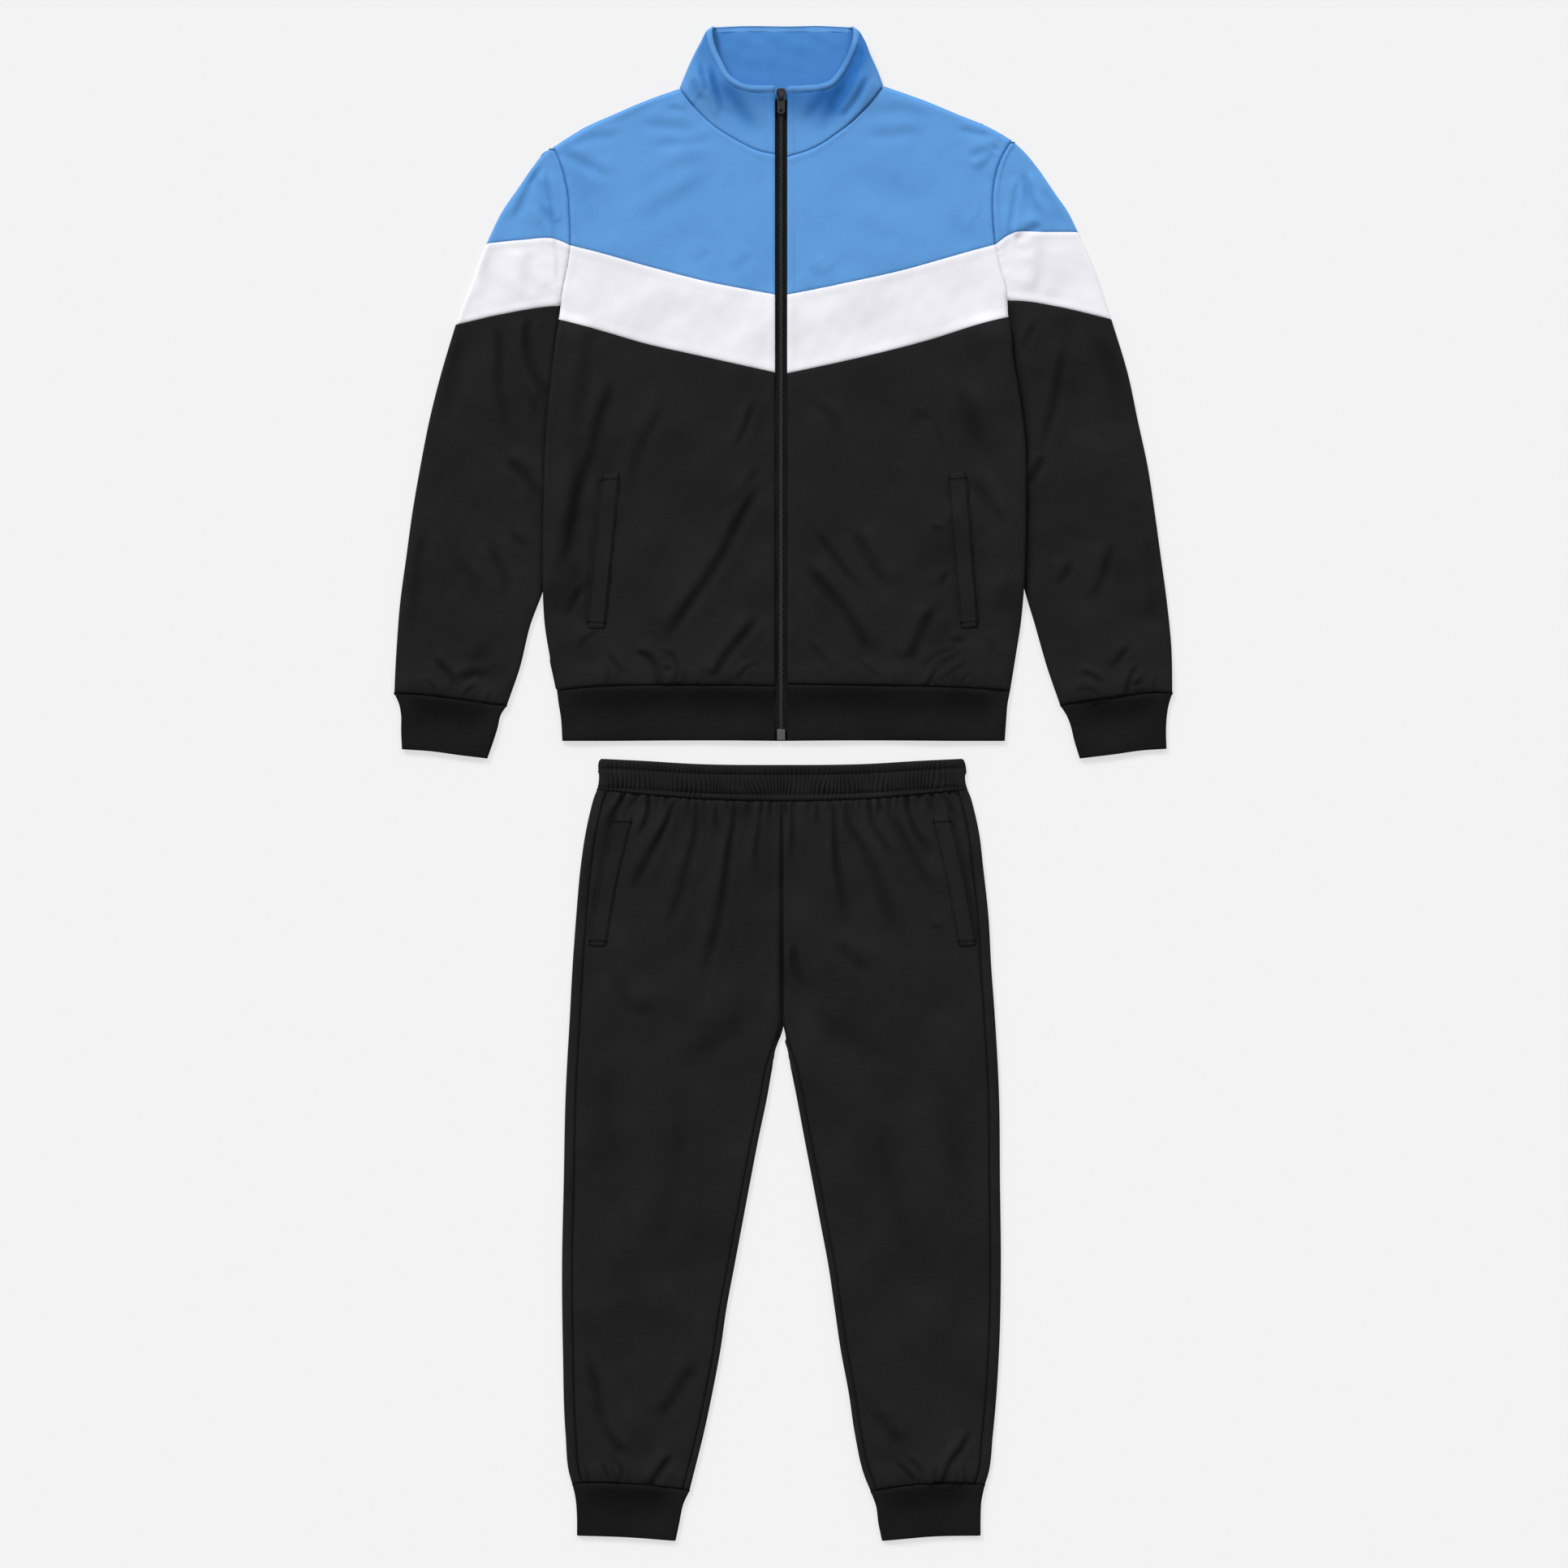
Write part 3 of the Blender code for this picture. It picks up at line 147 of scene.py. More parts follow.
# Creases, seen with the light from above and a little left: depth of the trough, its width, height of the ridge
# beside it (on the lit side, or the other where negative), fade at each end as shares, then x and y.
# The last four of the body run beside the pocket welts
BODY_CREASES = [
    (1.74, 6.5, 1.58, 0.1, 0.3, (-254.8, 668.7), (-230.9, 655.7), (-210.3, 645.4), (-193.2, 635.1)),
    (1.05, 5.8, 1.05, 0.1, 0.35, (-254.8, 672), (-237.7, 676), (-217.2, 683), (-189.8, 686.4), (-176, 693.3)),
    (1.2, 6.5, 1.15, 0.3, 0.35, (-169.3, 705.2), (-152.2, 698.4), (-128.3, 695), (-104.3, 693.3), (-87.2, 693.3)),
    (1.15, 6.5, 1.1, 0.3, 0.35, (-152.2, 674.5), (-128.3, 676.2), (-100.9, 678.6), (-70, 683)),
    (1.12, 2.9, 0.92, 0.2, 0.2, (-130, 732.6), (-128.3, 727.5), (-123.1, 724.7)),
    (1.1, 3.9, .95, 0.25, 0.25, (-133.4, 718.9), (-121.4, 715.5), (-109.5, 712.1)),
    (.95, 11, .95, 0.35, 0.4, (-63.3, 667.6), (-87.2, 660.8), (-114.6, 650.5), (-141.9, 635), (-169.3, 619.8),
     (-183, 611)),
    (1.0, 11, 1.0, 0.35, 0.4, (-58.2, 657.4), (-80.4, 642), (-107.7, 621.5), (-135, 606), (-159, 589), (-183, 563.3)),
    (1.12, 10.4, 1.12, 0.2, 0.3, (-234.3, 648.8), (-225.7, 624.9), (-220.6, 600.9), (-215.5, 577)),
    (0.74, 6.5, 0.79, 0.3, 0.3, (-80.4, 556.5), (-100.9, 539.4)),
    (0.74, 6.5, 0.79, 0.3, 0.3, (-32.5, 553), (-59.9, 529)),
    (1.2, 8.5, 1.15, 0.3, 0.35, (90.4, 707.3), (111.7, 712.6), (136.4, 714.4), (154.1, 709.1), (175.3, 702)),
    (.9, 6.5, .95, 0.35, 0.35, (83.4, 689.6), (108.1, 686.1), (136.4, 687.9), (164.7, 691.4)),
    (1.24, 5.2, 1.19, 0.3, 0.1, (207.2, 659.5), (224.9, 666.6), (246, 671.9)),
    (1.24, 5.2, 1.19, 0.3, 0.1, (221.3, 641.9), (228.4, 652.5), (242.6, 664.9)),
    (1.12, 4.5, 1.06, 0.3, 0.2, (193, 694.9), (214.3, 689.6), (235.5, 684.3)),
    (0.81, 10.4, 0.92, 0.3, 0.3, (193, 599.4), (207.2, 574.6), (224.9, 574.6)),
    (0.74, 7.8, 0.79, 0.3, 0.3, (26.7, 539.3), (44.4, 521.6)), (0.87, 2.3, 0.79, 0.2, 0.2, (117, 737), (118.7, 730)),
    (0.74, 15.6, 0.86, 0.4, 0.4, (50, 650), (110, 632), (170, 610)),
    (0.74, 13, 0.86, 0.4, 0.4, (60, 596), (110, 572), (160, 562)),
    (3, 7, 3, 0.2, 0.25, (-191.5, 428), (-195, 401), (-208.6, 356.5), (-217.2, 322.3), (-229.2, 288.1),
     (-237.7, 250.5), (-242.8, 223.2), (-249.7, 195.8), (-254.8, 168.4)),
    (3.1, 6, 3, 0.15, 0.2, (-24, 298), (-36, 274), (-50, 247), (-66, 214), (-84, 185), (-105, 156), (-124, 127),
     (-137, 108)), (2, 3.5, 1.8, 0.3, 0.3, (-27.4, 394.2), (-35.9, 373.6), (-46.2, 346.3), (-56.4, 325.8)),
    (1.4, 6, 1.4, 0.3, 0.3, (-128.3, 394.2), (-141.9, 366.8), (-159, 332.6), (-169.3, 298.4), (-176, 267.6)),
    (1.4, 5, 1.3, 0.3, 0.3, (-22.2, 315.5), (-46.2, 281.3), (-66.7, 257.4)),
    (1.5, 4, 1.5, 0.3, 0.3, (-220.6, 182), (-234.3, 161.6), (-246, 136)),
    (2.9, 5, 2.6, 0.25, 0.05, (-25, 145), (-47, 116), (-65, 94), (-78, 72)),
    (1.6, 2.4, 2, 0.3, 0.05, (-29, 87), (-44, 80), (-51, 68)),
    (3, 4.2, 2.6, 0.2, 0.02, (-171, 101), (-153, 94), (-144, 79), (-140, 62)),
    (2.4, 2.8, 1.4, 0.3, 0.2, (-138, 83), (-131, 81), (-126, 84)),
    (1.9, 2.2, 2.2, 0.3, 0.05, (-146, 105), (-124, 94), (-120, 76), (-124, 65)),
    (2, 3.2, 2, 0.25, 0.2, (-202, 101), (-191, 87), (-182, 74)),
    (1.3, 2, 1.5, 0.3, 0.05, (-206, 88), (-198, 76), (-201, 64)),
    (1.2, 3, 1.2, 0.3, 0.3, (-207, 124), (-222, 116), (-231, 104)),
    (3, 6, 2.8, 0.2, 0.15, (19.6, 203.7), (41.5, 178), (63.5, 152.5), (81.8, 126.9), (100, 94)),
    (2.2, 3.5, 2, 0.25, 0.25, (31.3, 245.9), (49, 219.4), (70.3, 191), (91.5, 166.3)),
    (2.5, 6, 2.2, 0.25, 0.25, (77.3, 244), (91.5, 215.8), (109.2, 184), (116.3, 169.9)),
    (1.8, 3, 1.6, 0.3, 0.3, (169.3, 364.4), (176.4, 346.8), (183.5, 325.5)),
    (2.1, 8, 2, 0.3, 0.3, (194, 403.4), (208.2, 375), (218.9, 343.2), (225.9, 318.4)),
    (1.6, 4, 1.5, 0.3, 0.3, (146.3, 378.6), (155.2, 362.7)),
    (1.9, 6, 1.8, 0.3, 0.3, (208.2, 300.8), (225.9, 279.5), (240, 254.8), (247.2, 237)),
    (1.6, 3, 1.4, 0.3, 0.3, (165.8, 244), (179.9, 235.3)), (1.8, 4, 1.6, 0.3, 0.3, (190.6, 194.6), (176.4, 173.4)),
    (1.3, 5, 1.3, 0.3, 0.3, (31.3, 382), (52.6, 368), (63.2, 350.3), (70.3, 329)),
    (2.7, 6, 2.4, 0.2, 0.1, (173, 152), (158, 123), (144, 90)),
    (1.8, 2.6, 1.6, 0.3, 0.05, (86, 90), (96, 82), (104, 72)), (1.6, 4, 1.5, 0.3, 0.2, (24, 118), (44, 92), (58, 76)),
    (1.8, 3.4, 1.5, 0.3, 0.3, (186, 116), (194, 113), (206, 114)),
    (2.3, 2.2, 1.8, 0.2, 0.02, (175, 82), (168, 72), (163, 62)),
    (1.4, 2.2, -1.6, 0.3, 0.1, (157, 80), (170, 94), (198, 106)),
    (1.2, 2, 1.4, 0.3, 0.1, (180, 66), (188, 76), (206, 88)),
    (1.3, 1.8, 1.3, 0.2, 0.05, (214, 78), (206, 72), (202, 63)),
    (1, 4, 1.1, 0.3, 0.3, (228, 124), (236, 104), (244, 88)),
    (1.2, 2.2, 1, 0.3, 0.05, (-90, 78), (-92, 70), (-96, 63)),
    (1.1, 2, 1, 0.3, 0.05, (128, 80), (126, 72), (128, 63)), (1, 2, 1, 0.3, 0.05, (236, 84), (232, 72), (234, 62)),
    (1.9, 1.6, .4, .05, .05, (-208, 303), (-217, 215), (-225, 128)),
    (1.3, 1.5, .3, .05, .05, (-183.5, 305), (-200.5, 127)),
    (1.9, 1.6, .4, .05, .05, (209, 305), (216, 217), (223, 129)), (1.3, 1.5, .3, .05, .05, (184, 304), (199, 127))]
COLLAR_CREASES = [
    (2.0, 3.4, 1.8, .3, .2, (-96, 770), (-92, 752), (-86, 730)),
    (2.6, 3.8, 2.0, .3, .2, (-84, 768), (-77, 738), (-68, 706)),
    (2.2, 8, 1.6, .25, .45, (-72, 752), (-52, 718), (-36, 696), (-22, 680)),
    (3.0, 9, 2.2, .15, .35, (88, 792), (74, 748), (52, 708), (34, 682)),
    (1.8, 8, 1.6, .3, .45, (56, 742), (36, 716), (20, 694)), (2.0, 4.5, 1.8, .2, .2, (98, 756), (82, 726), (64, 704)),
    (1.6, 5, 1.4, .2, .2, (-104, 752), (-100, 736), (-94, 722))]
COLLAR_BACK = [
    (0, 5, 1.4, .3, .3, (-66, 800), (-44, 786), (-20, 778)), (0, 6, 1.4, .3, .3, (-30, 800), (0, 782), (26, 774)),
    (0, 5, 1.3, .3, .3, (20, 802), (44, 790), (60, 776)), (0, 7, 1.2, .3, .3, (-52, 772), (-30, 762), (-8, 757))]
SLEEVE_CREASES = [
    (2.0, 3.4, 1.6, .15, .4, (-270, 648), (-266, 626), (-262, 602), (-258, 574), (-255, 548)),
    (1.5, 6, 1.1, .2, .2, (-278, 640), (-270, 612), (-263, 586)),
    (1.8, 4, 1.4, .3, .1, (-276, 611), (-271, 598), (-263, 584)),
    (2.4, 6, 2.0, .25, .3, (-274, 657), (-285, 635), (-297, 608), (-306, 586)),
    (1.6, 3.2, -1.3, .15, .4, (267, 640), (263, 616), (260, 598), (257, 574), (255, 548)),
    (2.3, 5, 1.9, .2, .3, (270, 646), (281, 612), (295, 584)),
    (1.5, 8, 1.4, .2, .3, (-286, 556), (-290, 530), (-282, 500)),
    (0.9, 2.2, .8, .1, .1, (-258.5, 572), (-256, 540), (-254.5, 505)),
    (1.4, 9, 1.4, .3, .3, (-330, 556), (-336, 530), (-332, 500)),
    (1.8, 5, 1.7, .3, .1, (298, 584), (282, 580), (262, 568)),
    (1.5, 8, 1.5, .2, .3, (290, 560), (292, 530), (284, 500)),
    (1.6, 6, 1.5, .25, .3, (292, 630), (306, 606), (318, 580)),
    (1.9, 10, 1.8, .25, .3, (-350.5, 468.9), (-367, 438.3), (-376.4, 405.2), (-381, 376.9), (-388.2, 343.9)),
    (2.2, 5, 2.0, .2, .3, (-324.5, 478), (-321, 440.6), (-321, 405.2), (-317.4, 376.9), (-308, 343.9)),
    (3.0, 5, 2.8, .1, .15, (-289, 480), (-290.3, 452.4), (-285.6, 426.5), (-277.3, 405.2), (-268, 386)),
    (1.8, 3, 1.6, .3, .3, (-286.8, 386.4), (-277.3, 365)),
    (2.8, 6, 2.6, .25, .25, (-319.3, 320), (-300.4, 305.9), (-286.3, 289.4), (-275.7, 270.5)),
    (2.0, 4, 1.8, .3, .3, (-309.9, 239.9), (-300.4, 225.7), (-291, 216.3)),
    (2.3, 5, 2.0, .25, .25, (-335.8, 230.4), (-326.4, 209.2), (-317, 188), (-311, 162)),
    (1.5, 7, 1.5, .3, .3, (-375.9, 225.7), (-364, 197.4), (-350, 173.8), (-345.3, 150.2)),
    (1.8, 6, 1.8, .3, .3, (-406.6, 254), (-413.7, 192.7), (-418.4, 147.9), (-423, 112.5)),
    (2.8, 4, 2.4, .2, .1, (-398.3, 97.2), (-387.7, 84.2), (-375.9, 70), (-371.2, 60)),
    (2.4, 5, 2.2, .3, .3, (-375.9, 72.4), (-361.8, 71.2), (-345.3, 74.7), (-335.8, 70)),
    (1.9, 2.2, 1.7, .2, .02, (-406.6, 70), (-397.2, 60.6), (-394.8, 51)),
    (1.8, 2.2, 1.6, .2, .1, (-361.8, 49), (-355.9, 58.2), (-347.6, 62.9)),
    (1.5, 8, 1.5, .3, .3, (-333.5, 112.5), (-342.9, 93.6), (-350, 82)),
    (1.3, 2, 1.3, .2, .05, (-425, 70), (-422, 60), (-420, 52)),
    (1.3, 2, 1.3, .2, .05, (-330, 58), (-334, 50), (-338, 42)),
    (2.2, 5, 2.0, .25, .3, (321, 464.2), (314, 417), (307, 376.9), (297.6, 343.9), (290.5, 315.6)),
    (1.9, 10, 1.8, .2, .3, (344.7, 476), (358.9, 445.3), (375.4, 412.3), (382.5, 376.9), (389.6, 339.2)),
    (1.2, 4, 1.2, .3, .3, (293, 483), (276, 445), (283, 429)),
    (2.7, 5, 2.4, .2, .25, (297, 324.8), (287.6, 305.9), (279.4, 289.4)),
    (2.2, 5, 2.0, .25, .3, (374.9, 230.4), (365.5, 192.7), (356, 169), (346.6, 152.6)),
    (2.2, 5, 2.0, .3, .3, (327.8, 206.8), (318.3, 183.3), (308.9, 173.8)),
    (2.0, 4, 1.8, .3, .3, (393.8, 110), (382, 93.6), (370.2, 79.5)),
    (2.6, 2.6, 2.2, .2, .02, (403.2, 86.5), (396.2, 77), (390.3, 62.9), (389, 51)),
    (2.0, 2.5, 1.8, .3, .2, (410.3, 70), (400.9, 65.3), (393.8, 62.9)),
    (2.6, 3, 2.2, .25, .25, (332.5, 77), (349, 73.6), (363, 62.9)),
    (1.6, 2.2, 1.4, .2, .1, (325.4, 58.2), (351.3, 56), (358.4, 49)),
    (1.3, 2, 1.3, .2, .05, (422, 72), (420, 62), (422, 53)),
    (1.4, 9, 1.4, .3, .3, (412, 250), (420, 180), (424, 110))]
JOGGER_CREASES = [
    (2.9, 3.8, 2.2, .05, .4, (-177.4, 849), (-188.6, 827.6), (-199.7, 797.4)),
    (2.6, 2.6, 2.0, .05, .4, (-150.4, 846), (-153.5, 819.7), (-164.7, 794.2)),
    (1.8, 2.0, 1.4, .05, .4, (-163, 846), (-175.8, 827.6)),
    (2.8, 4.5, 2.2, .05, .3, (-120, 843), (-129.7, 816.5), (-148.8, 778.3), (-161.5, 752.8), (-174.2, 730.5)),
    (2.2, 5, 1.9, .05, .3, (-96.2, 841), (-97.8, 803.7), (-107.4, 762.3), (-120, 717.7), (-139.2, 682.7)),
    (2.3, 2.6, 1.8, .05, .4, (-75.5, 841), (-73.9, 810), (-70.7, 794.2)),
    (3.1, 4.8, 2.8, .05, .3, (-53.2, 841), (-54.8, 813.3), (-59.6, 784.6), (-64.4, 743.2), (-70.7, 705),
     (-80.3, 666.8), (-86.7, 628.6)),
    (2.3, 3.0, 1.9, .05, .35, (-23, 840), (-26, 806.9), (-29.3, 775), (-24.5, 743.2)),
    (1.6, 1.8, 1.2, .05, .4, (-45.3, 840), (-50, 826)),
    (1.6, 7, 1.6, .3, .3, (-202.9, 654), (-183.8, 625.4), (-167.9, 603), (-136, 603)),
    (2.4, 3.0, 1.9, .05, .35, (10.7, 840), (12.3, 803.6), (12.3, 764)),
    (2.4, 2.6, 1.9, .05, .4, (38.7, 840), (42, 806.9)),
    (3.0, 4.0, 2.6, .05, .3, (58.5, 841), (60.2, 797), (63.5, 757.4), (70, 724.4), (76.7, 684.8)),
    (2.0, 8, 1.8, .3, .3, (55.2, 678.2), (80, 660), (98.2, 641.8)),
    (2.4, 6, 2.1, .05, .3, (73.4, 842), (76.7, 806.9), (91.6, 783.8), (108, 747.5), (114.7, 731), (121.3, 707.9),
     (137.8, 678)), (2.3, 3.0, 1.9, .05, .35, (99.8, 842), (103, 810.2), (114.7, 790.4), (131.2, 764)),
    (1.8, 2.2, 1.4, .05, .4, (109.7, 843), (111, 822)),
    (2.8, 3.0, 2.2, .05, .35, (141, 846), (149.3, 806.9), (164.2, 783.8), (174, 770.6)),
    (2.1, 5, 1.9, .2, .3, (121.3, 830), (141, 787), (157.6, 757.4), (177.4, 724.4)),
    (2.2, 2.6, 1.8, .05, .4, (180.7, 850), (190.6, 830), (197.2, 813.5)),
    (1.8, 2.2, 1.4, .05, .4, (160.9, 847), (170.8, 825)), (1.8, 3, 1.5, .3, .3, (164.2, 698), (184, 693)),
    (2.8, 5, 2.4, .2, .3, (12.3, 678.2), (17.3, 645), (25.5, 622)),
    (2.4, 5, 2.0, .3, .1, (-224.5, 221.3), (-218, 200), (-211.8, 174.6), (-206.5, 147), (-201, 125.8),
     (-190.5, 108.8), (-177.8, 96)), (1.8, 2.2, 1.5, .2, .05, (-204.3, 90.8), (-195.8, 68)),
    (2.0, 2.6, 1.8, .2, .05, (-192.7, 91.8), (-184.2, 85.4), (-181, 67)),
    (1.5, 1.8, 1.4, .2, .05, (-192.7, 83), (-186.3, 67)),
    (3.1, 4.5, 2.6, .2, .02, (-122.6, 98.2), (-133.2, 85.4), (-149, 63)),
    (2.1, 7, 2.0, .25, .25, (-92.9, 204.3), (-107.7, 183), (-124.7, 157.6), (-141.7, 136.4)),
    (2.1, 7, 2.0, .25, .25, (101.5, 148.7), (119.4, 126.3), (137.4, 106)),
    (2.7, 3, -2.4, .2, .05, (126.2, 89.3), (139.6, 79.2), (150.8, 66)),
    (2.0, 3, 1.6, .25, .1, (135, 94.9), (150.8, 85.9), (159.8, 74.7)),
    (3.0, 4, 2.6, .2, .02, (215.8, 126.3), (204.6, 106), (191.2, 88.2), (182.2, 64)),
    (2.0, 4, 1.2, .3, .02, (172, 84), (175.5, 65)), (2.6, 1.9, .4, .08, .08, (193, 822), (210, 748), (223.3, 675)),
    (1.7, 1.7, .4, .1, .1, (-192, 822), (-209, 748), (-222.5, 675)),
    (1.9, 1.7, .4, .02, .3, (-1.4, 838), (-1.4, 780), (-1.3, 700)),
    (2.8, 3.0, 1.0, .5, .01, (-1.2, 740), (-1.4, 660), (-.8, 588)), (1.4, 2, 1.3, .2, .05, (-222, 84), (-220, 66)),
    (1.4, 2, 1.3, .2, .05, (206, 84), (208, 66)), (1.6, 12, 1.5, .3, .4, (-30, 610), (-70, 566), (-130, 536)),
    (1.6, 12, 1.5, .3, .4, (30, 610), (80, 566), (140, 540)),
    (1.4, 13, 1.4, .4, .4, (-96, 520), (-126, 400), (-150, 290)),
    (1.4, 13, 1.4, .4, .4, (96, 500), (126, 390), (150, 300)),
    (1.3, 14, 1.3, .4, .4, (-190, 560), (-200, 460), (-196, 380)),
    (1.3, 14, 1.3, .4, .4, (190, 540), (200, 440), (196, 350))]
# The same cloth seen from behind, where nothing shows it: fewer creases of the same kinds
BACK_JACKET = [
    (0.9, 9, 1.2, .3, .3, (-120, 420), (-60, 300), (-40, 180)),
    (0.9, 9, 1.2, .3, .3, (130, 400), (90, 300), (100, 190)), (0.9, 5, 1.1, .3, .1, (-150, 120), (-140, 66)),
    (0.9, 5, 1.1, .3, .1, (60, 130), (84, 66)), (0.9, 7, 1.1, .3, .3, (-200, 640), (-120, 600), (-40, 600)),
    (0.9, 7, 1.1, .3, .3, (210, 640), (120, 606), (50, 600)),
    (0.8, 8, 1.0, .3, .3, (-370, 380), (-350, 250), (-370, 130)),
    (0.8, 8, 1.0, .3, .3, (370, 380), (350, 250), (370, 130))]
BACK_JOGGERS = [
    (0.9, 5, 1.1, .1, .4, (-150, 845), (-160, 780)), (0.9, 5, 1.1, .1, .4, (-60, 838), (-70, 770)),
    (0.9, 5, 1.1, .1, .4, (70, 838), (76, 780)), (0.9, 5, 1.1, .1, .4, (150, 845), (160, 780)),
    (0.9, 10, 1.2, .3, .3, (-30, 620), (-90, 560), (-150, 540)),
    (0.9, 10, 1.2, .3, .3, (30, 620), (90, 560), (150, 540)), (0.8, 12, 1.0, .3, .3, (-130, 420), (-160, 250)),
    (0.8, 12, 1.0, .3, .3, (130, 420), (160, 250))]


def side_of(table, hand):
    return [(-r[0], r[1]) if hand < 0 else (r[2], r[3]) for r in table]


def placed(name, data):
    ob = bpy.data.objects.new(name, data)
    bpy.context.scene.collection.objects.link(ob)
    return ob


def solid_mesh(name, verts, faces):
    """A mesh whose faces all look outward."""
    mesh = bpy.data.meshes.new(name)
    mesh.from_pydata(verts, [], faces)
    bm = bmesh.new()
    bm.from_mesh(mesh)
    bmesh.ops.recalc_face_normals(bm, faces=bm.faces)
    bm.to_mesh(mesh)
    bm.free()
    return mesh


def ease(t):
    t = np.clip(t, 0.0, 1.0)
    return t * t * (3 - 2 * t)


def curve(points):
    """A smooth line through the points, read by its share of the length."""
    p = np.array(points, float)
    s = np.r_[0, np.cumsum(np.hypot(*np.diff(p, axis=0).T))]
    m = np.gradient(p, s, axis=0)

    def at(t):
        q = np.clip(np.asarray(t, float), 0, 1) * s[-1]
        i = np.clip(np.searchsorted(s, q, side="right") - 1, 0, len(s) - 2)
        w = (s[i + 1] - s[i])[..., None]
        k = (q - s[i])[..., None] / w
        return ((2 * k**3 - 3 * k**2 + 1) * p[i] + (k**3 - 2 * k**2 + k) * w * m[i]
                + (3 * k**2 - 2 * k**3) * p[i + 1] + (k**3 - k**2) * w * m[i + 1])
    return at


def line_of(table, hand):
    return curve(side_of(table, hand))


def joined(*parts):
    """Several lines as one, cornered where they meet."""
    long = [sum(math.dist(a, b) for a, b in zip(p, p[1:])) for p in parts]
    ends = [sum(long[:i]) / sum(long) for i in range(len(parts) + 1)]
    lines = [curve(p) for p in parts]

    def at(t):
        t = np.asarray(t, float)
        out = lines[0]((t - ends[0]) / (ends[1] - ends[0]))
        for k in range(1, len(parts)):
            out = np.where((t >= ends[k])[..., None], lines[k]((t - ends[k]) / (ends[k + 1] - ends[k])), out)
        return out
    return at


def both(table):
    left, right = side_of(table, -1), side_of(table, 1)
    centre = [(ZIP_X, (left[-1][1] + right[-1][1]) / 2)]
    a, b = curve(left[:-1] + centre), curve(centre + right[-2::-1])
    return lambda t: np.where((np.asarray(t) < 0.5)[..., None], a(2 * np.asarray(t)), b(2 * np.asarray(t) - 1))


def between(top, bottom, start, end, us, vs):
    """Points between four lines: the shares us run from start to end, vs from top to bottom."""
    z, o = np.array([0.0]), np.array([1.0])
    u, v = us[..., None], vs[..., None]
    corners = (1 - u) * ((1 - v) * top(z) + v * bottom(z)) + u * ((1 - v) * top(o) + v * bottom(o))
    return (1 - v) * top(us) + v * bottom(us) + (1 - u) * start(vs) + u * end(vs) - corners


def patch(*lines):
    """Plan of a panel between four lines, on a grid of columns and rows."""
    return lambda us, vs: between(*lines, np.asarray(us)[:, None], np.asarray(vs)[None])


def panel(top, bottom, start, end, hand):
    """The same between the lines of four tables, on one side of the garment."""
    return patch(*(line_of(table, hand) for table in (top, bottom, start, end)))


def nearest(x, y, line):
    """Distance of many points from a line, their share of its length, and which side: positive where lit,
    which is judged once for the whole line."""
    a, b = line[:-1], line[1:]
    e = b - a
    long = (e**2).sum(1)
    t = np.clip(((x[:, None] - a[:, 0]) * e[:, 0] + (y[:, None] - a[:, 1]) * e[:, 1]) / long, 0, 1)
    dx, dy = x[:, None] - a[:, 0] - t * e[:, 0], y[:, None] - a[:, 1] - t * e[:, 1]
    d = np.hypot(dx, dy)
    i = d.argmin(1)
    k = np.arange(len(x))
    cross = e[i, 0] * dy[k, i] - e[i, 1] * dx[k, i]
    whole = line[-1] - line[0]
    lit = 1.0 if whole[1] * 0.35 + whole[0] * 0.94 > 0 else -1.0
    return d[k, i], (i + t[k, i]) / len(e), np.sign(cross) * lit


def near(x, y, line, reach):
    """Which points lie in the box around a line, widened by the reach."""
    low, high = line.min(0) - reach, line.max(0) + reach
    return (x > low[0]) & (x < high[0]) & (y > low[1]) & (y < high[1])


def creases(x, y, table):
    """Rise of the cloth by a table of creases, and how far each point lies in a valley, which is painted as shade."""
    z, painted_shade = np.zeros_like(x), np.zeros_like(x)
    for depth, width, lip, fade_in, fade_out, *points in table:
        line = curve(points)(np.linspace(0, 1, 4 * len(points) + 6))
        m = near(x, y, line, 6 * width)
        if not m.any():
            continue
        d, t, side = nearest(x[m], y[m], line)
        s = d * side
        ends = ease(t / fade_in) * ease((1 - t) / fade_out)
        ends = ends * (0.88 + 0.12 * np.sin(9 * t + width))
        wide = width * (0.55 + 0.6 * ease(t / 0.7)) if fade_in <= 0.05 else np.full_like(t, width)
        off = math.copysign(1.7, lip) * wide
        z[m] += ends * (-depth * np.exp(-(s / wide) ** 2) + abs(lip) * np.exp(-((s - off) / (1.7 * wide)) ** 2)
                        + 0.55 * abs(lip) * np.exp(-((s + off) / (1.7 * wide)) ** 2))
        # Painted shade in the trough, darker for deeper creases
        painted_shade[m] += ends * min(depth / 2.8, 1) * np.exp(-(s / (1.1 * wide)) ** 2)
    return z, np.minimum(painted_shade, 1.1)


def uneven(x, y, seed, size, amount):
    """The slow unevenness of cloth that has been smoothed by hand."""
    rng = np.random.default_rng(seed)
    z = np.zeros_like(x)
    for _ in range(16):
        a, f, p = rng.uniform(0, math.pi), 2 * math.pi / (size * rng.uniform(0.6, 2.0)), rng.uniform(0, 6.28)
        z += np.cos(f * (x * math.cos(a) + y * math.sin(a)) + p)
    return z * amount / 4


